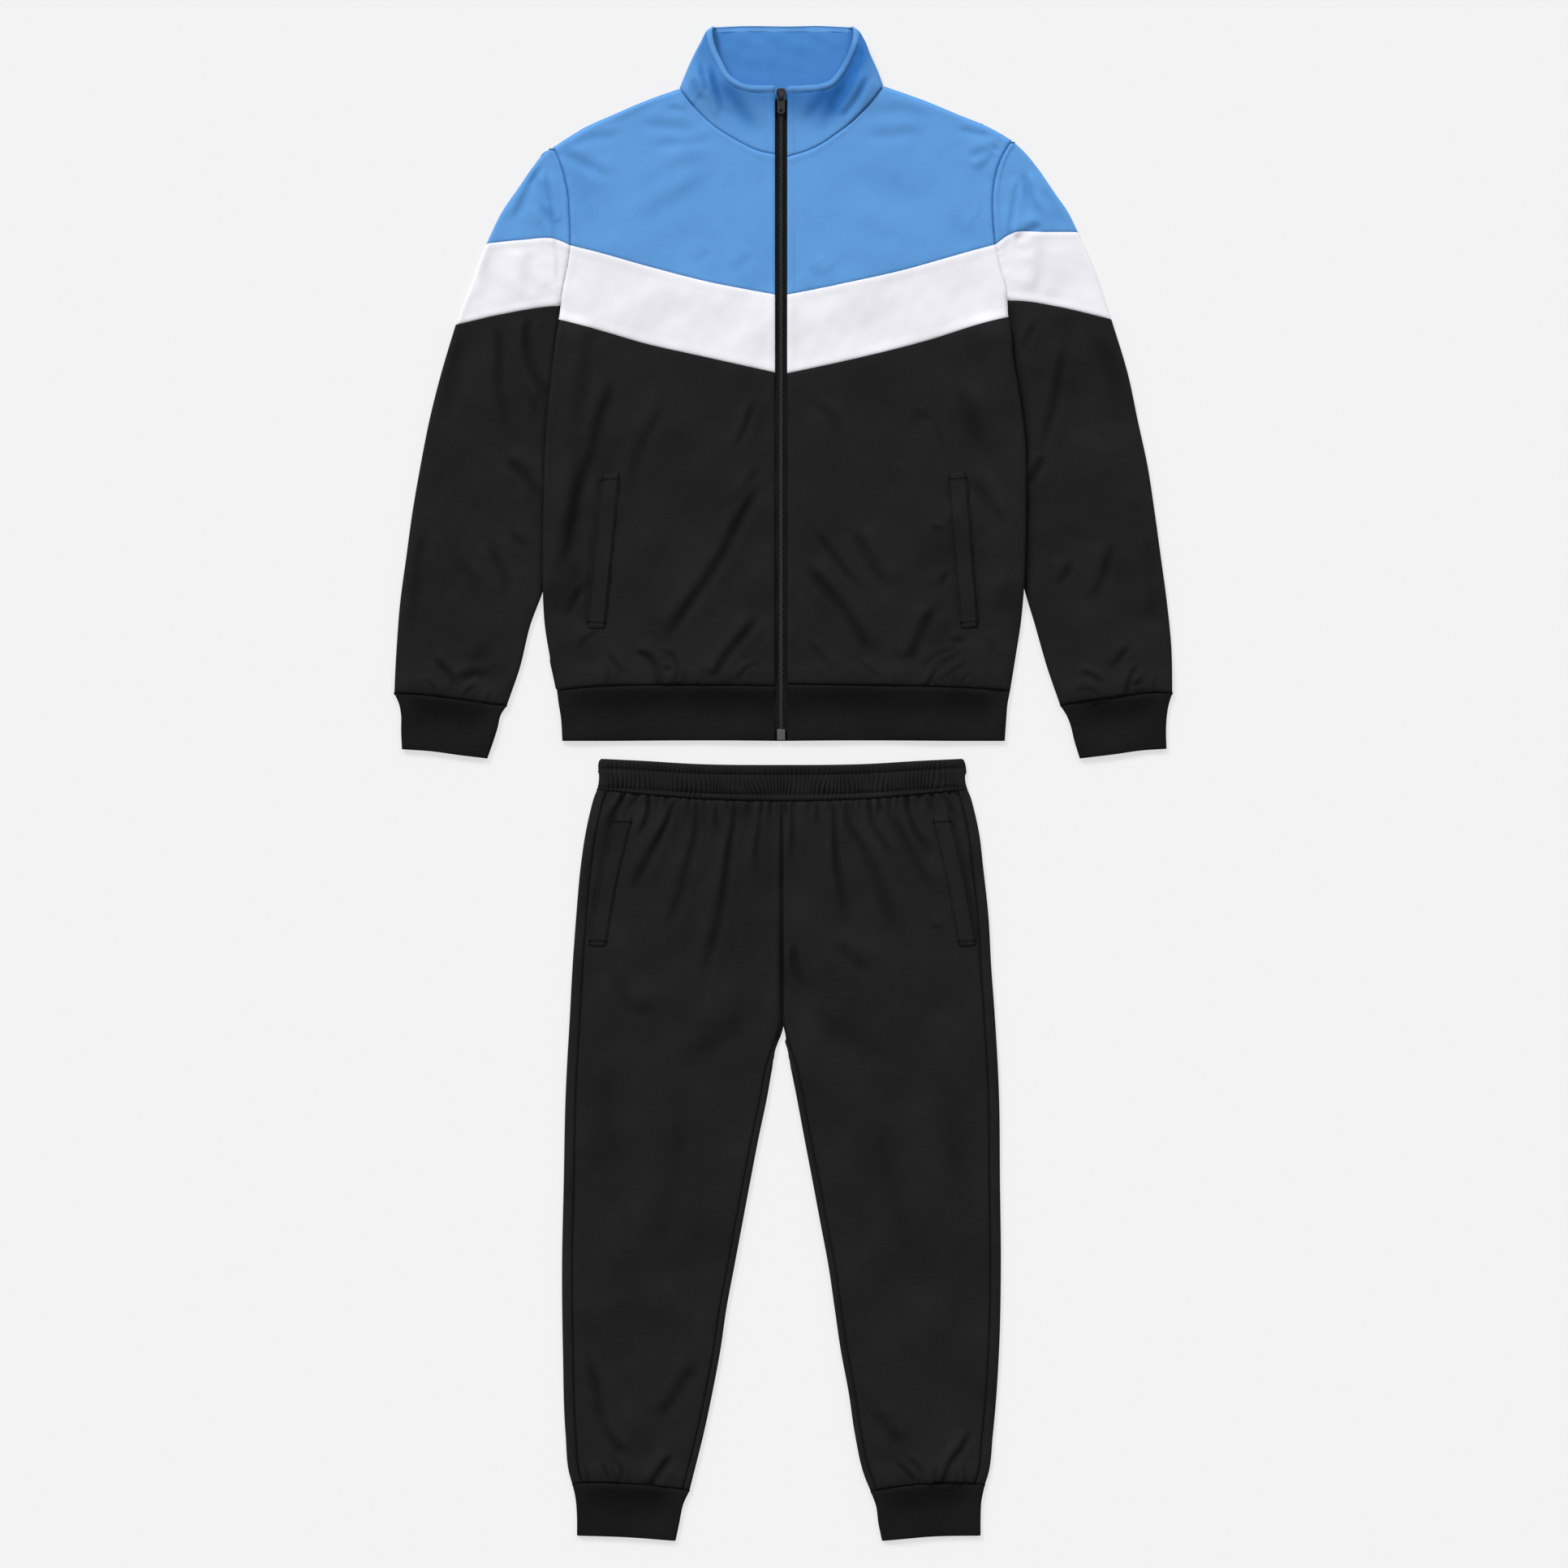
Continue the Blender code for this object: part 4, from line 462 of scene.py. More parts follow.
class Lay:
    def __init__(self, folds, high, top=(), under=(), lift=None, swell=None, soft=ROUND, seed=1, extra=None, calm=1.0,
                 shade=None):
        self.shade = shade
        self.folds = [curve(f)(np.linspace(0, 1, 80)) for f in folds]
        self.high, self.top, self.under, self.lift, self.swell = high, top, under, lift, swell
        self.soft, self.seed, self.extra, self.calm = soft, seed, extra, calm

    def height(self, x, y, side):
        d = np.full_like(x, 1e9)
        for f in self.folds:
            m = near(x, y, f, 30)
            if m.any():
                d[m] = np.minimum(d[m], nearest(x[m], y[m], f)[0])
        h = (self.high + (self.swell(x, y) if self.swell else 0.0)) / 2
        c = np.clip(1 - d / self.soft, 0, 1)
        q = np.sqrt(1 - c * c)
        z = h + side * h * q
        over = side > 0
        rise, painted_shade = creases(x[over], y[over], self.top)
        # Painted shade in the crease troughs, kept off the rounded folds
        self.painted_shade = np.zeros_like(x)
        self.painted_shade[over] = painted_shade * ease((d[over] - 0.5) / 5)
        smooth = self.calm * (1 - 0.55 * ease((y[over] - 505) / 40) * (self.high == JACKET_HIGH))
        rise = rise + smooth * (
            uneven(x[over], y[over], self.seed, 95, 1.0) + uneven(x[over], y[over], self.seed + 9, 32, 0.26))
        if self.extra:
            more = self.extra(x[over], y[over])
            rise = rise + more
            # Painted shade where the extra relief dips
            self.painted_shade[over] += np.clip(-more - 0.2, 0, 1) * 0.9
        # Painted shade from the lay's own shade function
        if self.shade:
            self.painted_shade[over] += self.shade(x[over], y[over])
        base = z.copy()
        z[over] += np.maximum(rise, -3.2) * ease((d[over] - 1.0) / 10)
        low = side < 0
        if low.any():
            z[low] += np.clip(creases(x[low], y[low], self.under)[0], 0, 1.4) * ease((d[low] - 3) / 14)
        up = self.lift(x, y) if self.lift else 0.0
        self.clear, self.least = d, np.minimum(base, h - h * q + 2.6) + up
        return z + up


def shares(width, step, first, last, gap=0.04):
    """Shares across a width: rounded down at a fold, rolled under at a seam, even between."""
    fold = [ROUND * (1 - math.cos(k * math.pi / 14)) for k in range(8)]
    seam = [gap, gap + 0.3, gap + 0.7, gap + 1.3, gap + 2.1, gap + 3.3]
    a = fold if first == "fold" else seam
    b = [width - d for d in reversed(fold if last == "fold" else seam)]
    n = max(int((b[0] - a[-1]) / step), 1)
    return np.array(a + [a[-1] + (b[0] - a[-1]) * k / n for k in range(1, n)] + b) / width


PUCKER_PITCH = 11.0


def lengths(plan):
    """How far along its row and down its column each point of a grid lies."""
    across, down = np.zeros(plan.shape[:2]), np.zeros(plan.shape[:2])
    across[1:] = np.cumsum(np.hypot(*np.moveaxis(np.diff(plan, axis=0), 2, 0)), axis=0)
    down[:, 1:] = np.cumsum(np.hypot(*np.moveaxis(np.diff(plan, axis=1), 2, 0)), axis=1)
    return across, down


def turned_in(plan, z, s, by):
    """The seam allowance beyond the last row, turned under the piece that is sewn on there."""
    along = plan[:, -1] - plan[:, -5]
    along /= np.linalg.norm(along, axis=-1, keepdims=True)
    deep, edge, rim = np.where(s[:, -1] > 0, 1.0, 0.0), plan[:, -1], z[:, -1]
    for out, drop in ((0.5 + 0 * by, 0.6), (by, 0.9)):
        plan = np.concatenate([plan, (edge + along * np.maximum(out * deep, 0.3 + drop / 4)[:, None])[:, None]], 1)
        z = np.concatenate([z, (rim - drop * deep)[:, None]], 1)
        s = np.concatenate([s, s[:, -1:]], 1)
    return plan, z, s


def cloth(name, lay, plan, side, at, mat, wall, node, seams=(0, 0, 0, 0), pucker=(0, 0, 0, 0),
          under=(0, 0, 0, 0), closed=False, raised=0.0, waves=None, sink=0.0, puff=0.0,
          allow=(0, 0)):
    """A cloth piece on a grid of (column, row) points. `seams` says how far each edge rolls under: first and last
    column, first and last row, with painted shade along each roll; `pucker` how much the cloth gathers beside it, and
    `under` how far the seam allowance below lifts it. `sink` is how far a rib falls away below its seam, with painted
    shade there, `puff` how far cloth stands over the seam below it, `allow` the allowances past the last column and
    last row, which are painted in full shade."""
    nc, nr = plan.shape[:2]
    x, y, s = plan[..., 0].ravel(), plan[..., 1].ravel(), np.broadcast_to(side, (nc, nr)).ravel().astype(float)
    z = lay.height(x, y, s).reshape(nc, nr)
    s, clear, least = s.reshape(nc, nr), lay.clear.reshape(nc, nr), lay.least.reshape(nc, nr)
    painted_shade = lay.painted_shade.reshape(nc, nr).copy()
    across, down = lengths(plan)
    gaps = (across, across[-1:] - across, down, down[:, -1:] - down)
    runs = (down, down, across, across)
    turned = np.where(s == 0, 0.0, np.sign(s))
    for roll, gather, rise, d, run in zip(seams, pucker, under, gaps, runs):
        if roll:
            z -= turned * roll * np.exp(-(d / 1.4) ** 1.3)
            # Painted shade along the rolled seam
            painted_shade += 0.45 * roll * np.exp(-(d / 1.6) ** 2)
        if rise:
            z += np.where(s > 0, rise, 0) * (1 - ease((d - 5.5) / 3.5))
        if gather:
            slow = np.sin(2 * np.pi * run / (PUCKER_PITCH * 3.3) + len(name))
            w = np.sin(2 * np.pi * run / PUCKER_PITCH + 1.9 * slow)
            z += np.where(s > 0, 1.0, 0.25) * gather * w * np.exp(-d / 7) * (0.7 + 0.3 * np.sin(run / 17.0))
    if waves is not None:
        wave, painted_gather_shade = waves(plan[..., 0], down, s)
        z += wave
        # Painted shade in the gathers' troughs and along their stitch rows
        painted_shade += painted_gather_shade
    z -= np.where(s > 0, sink, 0) * ease(down / 24) * (1 - ease((down - 24) / 34)) * ease((clear - 2) / 26)
    # Painted shade just below the seam of a rib
    painted_shade += np.where(s > 0, 0.24 * sink, 0) * ease(down / 7) * (1 - ease((down - 14) / 34)) * ease((clear - 4) / 34)
    z += np.where(s > 0, puff, 0) * np.exp(-((gaps[3] - 13) / 11) ** 2) * ease((clear - 1) / 16)
    z = np.where(s > 0, np.maximum(z, np.minimum(least, lay.least.max())) + raised, z)
    if np.any(allow[0]):
        wide, zt, st = turned_in(plan.transpose(1, 0, 2), z.T, s.T, np.broadcast_to(allow[0], nr).astype(float))
        plan, z, s = wide.transpose(1, 0, 2), zt.T, st.T
        nc += 2
    if allow[1]:
        away = np.append(clear[:, -1], [9.0] * (nc - len(clear)))
        plan, z, s = turned_in(plan, z, s, allow[1] * ease((away - 1) / 8))
        nr += 2
    across, down = lengths(plan)
    # The turned-in allowances carry full painted shade
    painted_shade = np.pad(painted_shade, ((0, nc - painted_shade.shape[0]), (0, nr - painted_shade.shape[1])), constant_values=1.0)
    p = np.stack([plan[..., 0] + at[0], plan[..., 1] + at[1], z], -1) / 1000
    grid = np.arange(nc * nr).reshape(nc, nr)
    nxt = np.roll(grid, -1, 0) if closed else grid[1:]
    cur = grid if closed else grid[:-1]
    f = np.stack([cur[:, :-1], nxt[:, :-1], nxt[:, 1:], cur[:, 1:]], -1).reshape(-1, 4)
    v = p.reshape(-1, 3)
    n = np.cross(v[f[:, 2]] - v[f[:, 0]], v[f[:, 3]] - v[f[:, 1]])
    want = s.ravel()[f].mean(1)
    if (n[:, 2] * want).sum() < 0:
        f = f[:, ::-1]
    mesh = bpy.data.meshes.new(name)
    mesh.from_pydata(v.tolist(), [], f.tolist())
    mesh.shade_smooth()
    # The painted shade goes to the mesh, where the material darkens the colour by it
    mesh.attributes.new("painted_shade", "FLOAT", "POINT").data.foreach_set("value", np.clip(painted_shade, 0, 1.6).ravel())
    uv = mesh.uv_layers.new(name="UVMap")
    flat = np.stack([across.ravel(), down.ravel()], -1) / 1000
    uv.data.foreach_set("uv", flat[f.ravel()].astype(np.float32).ravel())
    bm = bmesh.new()
    bm.from_mesh(mesh)
    for e in bm.edges:
        if e.is_boundary:
            e.smooth = False
    bm.to_mesh(mesh)
    bm.free()
    mesh.materials.append(mat)
    ob = placed(name, mesh)
    m = ob.modifiers.new("wall", "SOLIDIFY")
    m.thickness, m.offset = wall / 1000, -1.0
    # The whole cut, pulled smooth: the longest way across, measured along the cloth
    ring = np.concatenate([p, p[:1]]) if closed else p
    wide = float(np.linalg.norm(np.diff(ring, axis=0), axis=-1).sum(0).max())
    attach(ob, "garment")
    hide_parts(node)


def principled(m, **values):
    b = m.node_tree.nodes["Principled BSDF"]
    for key, value in values.items():
        b.inputs[key.replace("_", " ")].default_value = value
    return b


def knit(name, colour, darker, rough, level, bump=0.25, rib=None, painted_inner_shade=None, painted_shade_strength=0.46, shadow=(0, 0, 0)):
    """Tricot: fine wales along the cloth and courses across it, with slight unevenness of dye and nap.
    One colour, where given, is painted shade on the upward inner face of a collar's back that is seen past its front;
    the strength and the shadow colour say how far and toward what the painted shade in the valleys darkens the cloth."""
    m = bpy.data.materials.new(name)
    m.use_nodes = True
    t = m.node_tree
    b = principled(m, Roughness=rough, Specular_IOR_Level=level)

    def node(kind, **inputs):
        n = t.nodes.new(kind)
        for key, value in inputs.items():
            n.inputs[key].default_value = value
        return n

    def link(a, ai, c, ci):
        t.links.new(a.outputs[ai], c.inputs[ci])

    def maths(operation, *values):
        """A maths node's value, from numbers and the outputs of other nodes."""
        n = t.nodes.new("ShaderNodeMath")
        n.operation = operation
        for socket, value in zip(n.inputs, values):
            if isinstance(value, float):
                socket.default_value = value
            else:
                t.links.new(value, socket)
        return n.outputs["Value"]

    def multiplied(share, first, second):
        """A colour multiplied by another as far as the share says."""
        n = t.nodes.new("ShaderNodeMix")
        n.data_type, n.blend_type = "RGBA", "MULTIPLY"
        t.links.new(share, n.inputs[0])
        t.links.new(first, n.inputs[6])
        if isinstance(second, tuple):
            n.inputs[7].default_value = second
        else:
            t.links.new(second, n.inputs[7])
        return n.outputs[2]

    uv = node("ShaderNodeUVMap")
    uv.uv_map = "UVMap"
    place = node("ShaderNodeTexCoord")
    cloud = node("ShaderNodeTexNoise", Scale=14.0, Detail=3.0, Roughness=0.6)
    link(place, "Object", cloud, "Vector")
    fleck = node("ShaderNodeTexNoise", Scale=620.0, Detail=2.0, Roughness=0.7)
    link(place, "Object", fleck, "Vector")
    dye = maths("MULTIPLY_ADD", cloud.outputs["Fac"], 0.45, maths("MULTIPLY", fleck.outputs["Fac"], 0.55))
    ramp = node("ShaderNodeValToRGB")
    ramp.color_ramp.elements[0].position, ramp.color_ramp.elements[1].position = 0.36, 0.64
    ramp.color_ramp.elements[0].color, ramp.color_ramp.elements[1].color = (*darker, 1), (*colour, 1)
    t.links.new(dye, ramp.inputs["Fac"])
    # Painted shade: the mesh's attribute darkens the colour toward the shadow colour
    deep = node("ShaderNodeAttribute")
    deep.attribute_name = "painted_shade"
    shade_mask = maths("MULTIPLY", deep.outputs["Fac"], painted_shade_strength)
    shade_mask.node.use_clamp = True
    shaded_colour = multiplied(shade_mask, ramp.outputs["Color"], (*shadow, 1))
    # Painted shade on the upward inner face of the collar's back, seen past the front: low in the collar and below
    # its top roll
    if painted_inner_shade:
        where, facing, band = node("ShaderNodeSeparateXYZ"), node("ShaderNodeSeparateXYZ"), node("ShaderNodeValToRGB")
        link(place, "Object", where, "Vector")
        link(place, "Normal", facing, "Vector")
        up = maths("GREATER_THAN", facing.outputs["Z"], 0.0)
        t.links.new(maths("MULTIPLY", up, maths("MULTIPLY", where.outputs["Z"], 100.0)), band.inputs["Fac"])
        for spot in (0.13, 0.36):
            band.color_ramp.elements.new(spot)
        for e, spot, in_shade in zip(band.color_ramp.elements, (0.07, 0.13, 0.38, 0.46), (0, 1, 1, 0)):
            e.position = spot
            e.color = (*(painted_inner_shade if in_shade else (1, 1, 1)), 1)
        edge = node("ShaderNodeMapRange")
        edge.inputs["From Min"].default_value, edge.inputs["From Max"].default_value = 0.8525, 0.8515
        link(where, "Y", edge, "Value")
        shaded_colour = multiplied(edge.outputs["Result"], shaded_colour, band.outputs["Color"])
    t.links.new(shaded_colour, b.inputs["Base Color"])

    def lines(scale, distortion, direction):
        n = node("ShaderNodeTexWave", Scale=scale, Distortion=distortion, Detail=1.0)
        n.wave_type, n.bands_direction = "BANDS", direction
        link(uv, "UV", n, "Vector")
        return n.outputs["Fac"]

    mixed = maths("MULTIPLY_ADD", lines(260.0, 1.0, "Y"), 0.3 if rib is None else 0.12,
                  lines(310.0 if rib is None else rib, 0.6, "X"))
    relief = node("ShaderNodeBump", Strength=bump, Distance=0.0002 if rib is None else 0.0007)
    t.links.new(mixed, relief.inputs["Height"])
    soft = node("ShaderNodeBump", Strength=0.35, Distance=0.0004)
    haze = node("ShaderNodeTexNoise", Scale=160.0, Detail=4.0, Roughness=0.6)
    link(place, "Object", haze, "Vector")
    link(haze, "Fac", soft, "Height")
    link(relief, "Normal", soft, "Normal")
    link(soft, "Normal", b, "Normal")
    return m


def plain(name, colour, rough, level=0.5, grain=600.0, bump=0.15):
    m = bpy.data.materials.new(name)
    m.use_nodes = True
    t = m.node_tree
    b = principled(m, Roughness=rough, Specular_IOR_Level=level)
    place, noise = t.nodes.new("ShaderNodeTexCoord"), t.nodes.new("ShaderNodeTexNoise")
    noise.inputs["Scale"].default_value, noise.inputs["Detail"].default_value = grain, 3.0
    t.links.new(place.outputs["Object"], noise.inputs["Vector"])
    ramp = t.nodes.new("ShaderNodeValToRGB")
    ramp.color_ramp.elements[0].color = (*[c * 0.8 for c in colour], 1)
    ramp.color_ramp.elements[1].color = (*[min(c * 1.15, 1) for c in colour], 1)
    t.links.new(noise.outputs["Fac"], ramp.inputs["Fac"])
    t.links.new(ramp.outputs["Color"], b.inputs["Base Color"])
    rise = t.nodes.new("ShaderNodeBump")
    rise.inputs["Strength"].default_value, rise.inputs["Distance"].default_value = bump, 0.0002
    t.links.new(noise.outputs["Fac"], rise.inputs["Height"])
    t.links.new(rise.outputs["Normal"], b.inputs["Normal"])
    return m


# Each knit darkens by the painted shade in its mesh, as far as its strength says, toward its shadow colour: a deep
# blue for the blues, black for the rest
SKY, SKY_DARK, SKY_SHADOW = (0.124, 0.345, 0.725), (0.104, 0.302, 0.655), (0.15, 0.42, 0.64)
BLUE = knit("knit_blue", SKY, SKY_DARK, 0.75, 0.12, painted_shade_strength=0.3, shadow=SKY_SHADOW)
# The collar's blue paints more shade in its valleys, and paints shade on the inner face of its back
COLLAR = knit("knit_blue_collar", SKY, SKY_DARK, 0.75, 0.12, painted_inner_shade=(0.56, 0.73, 0.85), painted_shade_strength=0.58, shadow=SKY_SHADOW)
WHITE = knit("knit_white", (0.855, 0.855, 0.90), (0.805, 0.805, 0.855), 0.75, 0.12, painted_shade_strength=0.13)
BLACK = knit("knit_black", (0.0150, 0.0150, 0.0159), (0.0092, 0.0092, 0.0099), 0.78, 0.08)
RIBBED = knit("rib_black", (0.0108, 0.0108, 0.0115), (0.0060, 0.0060, 0.0065), 0.8, 0.06, bump=0.3, rib=210.0)
TAPE = plain("zip_tape", (0.0042, 0.0042, 0.0045), 0.8, 0.15, 2500.0, 0.4)
COIL = plain("zip_coil", (0.05, 0.05, 0.053), 0.4, 0.35)
METAL = plain("zip_metal", (0.02, 0.02, 0.021), 0.38, 0.5, 300.0, 0.05)
STOP = plain("zip_box", (0.085, 0.085, 0.088), 0.4, 0.5, 300.0, 0.05)
THREADS = {"blue": plain("thread_blue", (0.15, 0.40, 0.76), 0.5, 0.3, 3000.0),
           "white": plain("thread_white", (0.78, 0.78, 0.82), 0.5, 0.3, 3000.0),
           "black": plain("thread_black", (0.0035, 0.0035, 0.0037), 0.8, 0.05, 3000.0)}

HANDS = {"left": -1, "right": 1}


# The outer fold of the sleeve's cap as it lies, past the shoulder point
CAP_LAID = [(262, 673, 259, 681), (270.5, 667.5, 272.5, 668.8), (285, 650.5, 287, 651.5),
            (299.8, 628.8, 307, 622.5)] + SLEEVE_CAP[4:]


def outer_fold(hand):
    line = side_of(SHOULDER, hand) + side_of(CAP_LAID, hand)[1:] + side_of(SLEEVE_BAND, hand)[1:]
    return line + side_of(SLEEVE_OUT, hand)[1:]


def body_side(hand):
    return side_of(SIDE_BAND, hand) + side_of(SIDE_LOW, hand)[1:] + side_of(SIDE_HEM, hand)[1:]


SIDE_LINES = [curve(body_side(h))(np.linspace(0, 1, 80)) for h in (-1, 1)]


def body_lift(x, y):
    d = np.minimum(*[nearest(x, y, line)[0] for line in SIDE_LINES])
    along = ease((488 - y) / 34) * ease((y - 140) / 45)
    return BODY_LIFT * along * (1 - ease((d - LIFT_FLAT) / (LIFT_END - LIFT_FLAT)))


def collar_swell(x, y):
    return (COLLAR_RISE + 3.2 * ease((y - 700) / 46)) * ease((y - 690) / 60) * ease((130 - abs(x)) / 40)


def placket(x, y):
    """The turned edge beside the zip, pressed flat by its row of stitches."""
    d = abs(x - ZIP_X) - ZIP_GAP
    return 0.6 * (1 - ease((d - 8.5) / 2)) - 0.8 * np.exp(-((d - 8.2) / 0.9) ** 2)


def collar_shade(x, y):
    """Painted shade on the fronts of the collar, which turn away from the light toward the mouth."""
    d = np.minimum(*[nearest(x, y, line_of(COLLAR_TOP, h)(np.linspace(0, 1, 60)))[0] for h in (-1, 1)])
    return (0.85 + 0.35 * (x > 0)) * np.exp(-((d - 9) / 24) ** 2) * ease((d - 5) / 3) * ease((y - 672) / 30)


def collar_press(x, y):
    z = placket(x, y)
    for hand in (-1, 1):
        line = line_of(COLLAR_TOP, hand)(np.linspace(0, 1, 60))
        d = nearest(x, y, line)[0]
        z = z + 1.1 * (1 - ease((d - 5.6) / 2.2)) - 0.9 * np.exp(-((d - 7.2) / 1.0) ** 2)
    return z


folds = [outer_fold(-1), outer_fold(1), body_side(-1), body_side(1)]
BODY = Lay(folds, JACKET_HIGH, BODY_CREASES, BACK_JACKET, body_lift, seed=3, extra=placket)
HEM = Lay(folds[2:], JACKET_HIGH, (), (), body_lift, None, RIB_ROUND, 5, placket, 0.5)
NECKED = Lay([side_of(COLLAR_SIDE, -1), side_of(COLLAR_SIDE, 1)], JACKET_HIGH, COLLAR_CREASES, COLLAR_BACK, None,
             collar_swell, RIB_ROUND, 7, collar_press, 0.7, collar_shade)
STEP_BACK = 6.0

PANELS = (("yoke", NECK, SEAM_BLUE, ARMHOLE_TOP, BLUE, "knit_blue", KNIT, 200, 2.8,
           (2.0, 1, 1.5, .8), (.2, 0, .12, .1), (.4, 0, .35, 0)),
          ("band", SEAM_BLUE, SEAM_BLACK, (ARMHOLE_LOW, SIDE_BAND), WHITE, "knit_white", KNIT, 85, 3.2,
           (1.3, 1, .8, .9), (.1, 0, .1, .1), (.3, 0, .3, .3)),
          ("lower", SEAM_BLACK, SEAM_HEM, SIDE_LOW, BLACK, "knit_black", KNIT, 400, 3.0,
           (0, 1, .8, 1.9), (0, 0, .1, .5), (0, 0, 0, .3)),
          ("hem", SEAM_HEM, HEM_EDGE, SIDE_HEM, RIBBED, "rib_black", RIB, 60, 3.4,
           (0, .6, 1.7, .9), (0, 0, .3, 0), (0, 0, 0, 0)))
for piece, top, bottom, side, mat, slot, wall, long, step, seams, pucker, under in PANELS:
    arm, lay = piece == "yoke", HEM if piece == "hem" else BODY
    pick = {h: (joined(side_of(side[0], h), side_of(side[1], h)) if isinstance(side, tuple)
                else line_of(side, h)) for h in (-1, 1)}
    for name, hand in HANDS.items():
        upper = joined(side_of(SHOULDER, hand)[::-1], side_of(NECK, hand)[::-1]) if arm else line_of(top, hand)
        lower = side_of(bottom, hand)
        ends = np.array([upper(1.0), lower[-1]])
        us = shares(262, step, "seam" if arm else "fold", "seam")
        vs = shares(long, step, "fold" if arm else "seam", "seam")
        grid = patch(upper, curve(lower), pick[hand], curve(ends))(us, vs)
        cloth(f"cloth_{piece}_front_{name}", lay, grid, 1, JACKET_AT, mat, wall * 0.9,
              f"jacket_{piece}_front_{name}", seams, pucker, under,
              sink=2.8 * (piece == "hem"), puff=1.5 * (piece == "lower"), allow=(0, 4.5 * (piece != "hem")))
    upper = joined(side_of(SHOULDER, -1)[::-1], BACK_NECK, side_of(SHOULDER, 1)) if arm else both(top)
    us = shares(524, STEP_BACK, "seam" if arm else "fold", "seam" if arm else "fold")
    vs = shares(long, STEP_BACK, "fold" if arm else "seam", "seam")
    grid = patch(upper, both(bottom), pick[-1], pick[1])(us, vs)
    cloth(f"cloth_{piece}_back", lay, grid, -1, JACKET_AT, mat, wall * 0.9, f"jacket_{piece}_back",
          (0, 0, 0, 0), (0, 0, 0, 0))

sides = {h: line_of(COLLAR_SIDE, h) for h in (-1, 1)}
us, vs = shares(125, 2.2, "fold", "seam"), shares(90, 2.2, "seam", "seam")
fronts = {}
for hand in (-1, 1):
    neck, edge = side_of(NECK, hand)[::-1], side_of(COLLAR_TOP, hand)
    fronts[hand] = patch(curve(neck), curve(edge), sides[hand], curve([neck[-1], edge[-1]]))(us, vs)
back_top = curve([(-80, 810), (-40, 811.5), (0, 811), (40, 811.5), (78, 810)])
bu = shares(200, 4.0, "fold", "fold")
rear = patch(curve(BACK_NECK), back_top, sides[-1], sides[1])(bu, vs)
grid = np.concatenate([fronts[-1][::-1], rear[1:-1], fronts[1]])
side = np.concatenate([np.ones(len(us) - 1), [0], -np.ones(len(bu) - 2), [0], np.ones(len(us) - 1)])[:, None]
cloth("cloth_collar", NECKED, grid, side, JACKET_AT, COLLAR, COLLAR_WALL, "jacket_collar",
      (.9, .9, 1.3, .8), (0, 0, .1, 0))


# The sleeve's inner fold as it lies under the edge of the body below the arm
SLEEVE_TUCKED = [(x - t, y, x2 - t, y) if t else (x, y, x2, y2) for (x, y, x2, y2), t in zip(
    SLEEVE_IN, (0, 2.0, 3.0, 2.6) + (0,) * (len(SLEEVE_IN) - 4))]


def sleeve_lay(hand):
    inner = side_of(SLEEVE_TUCKED, hand) + side_of(CUFF_IN, hand)[1:]
    outer = outer_fold(hand) + side_of(CUFF_OUT, hand)[1:]
    beside = SIDE_LINES[(hand + 1) // 2]
    # Painted shadow that the body's lifted edge casts on the sleeve beside it, wider and darker on the right
    reach, painted_shadow = (6.5, 1.3) if hand > 0 else (3.0, 0.9)

    def shade(x, y):
        return painted_shadow * np.exp(-(nearest(x, y, beside)[0] / reach) ** 2) * ease((504 - y) / 20)
    return Lay([outer, inner], SLEEVE_HIGH, SLEEVE_CREASES, BACK_JACKET, seed=12 + hand, shade=shade)


def around(plan_top, plan_low):
    """Both faces of cloth that goes over one fold: from the open edge on top to the one underneath."""
    grid = np.concatenate([plan_top[::-1], plan_low[1:]])
    side = np.concatenate([np.ones(len(plan_top) - 1), [0], -np.ones(len(plan_low) - 1)])[:, None]
    return grid, side


def ring(plan_top, plan_low):
    grid = np.concatenate([plan_top, plan_low[-2:0:-1]])
    side = np.concatenate([[0], np.ones(len(plan_top) - 2), [0], -np.ones(len(plan_low) - 2)])[:, None]
    return grid, side


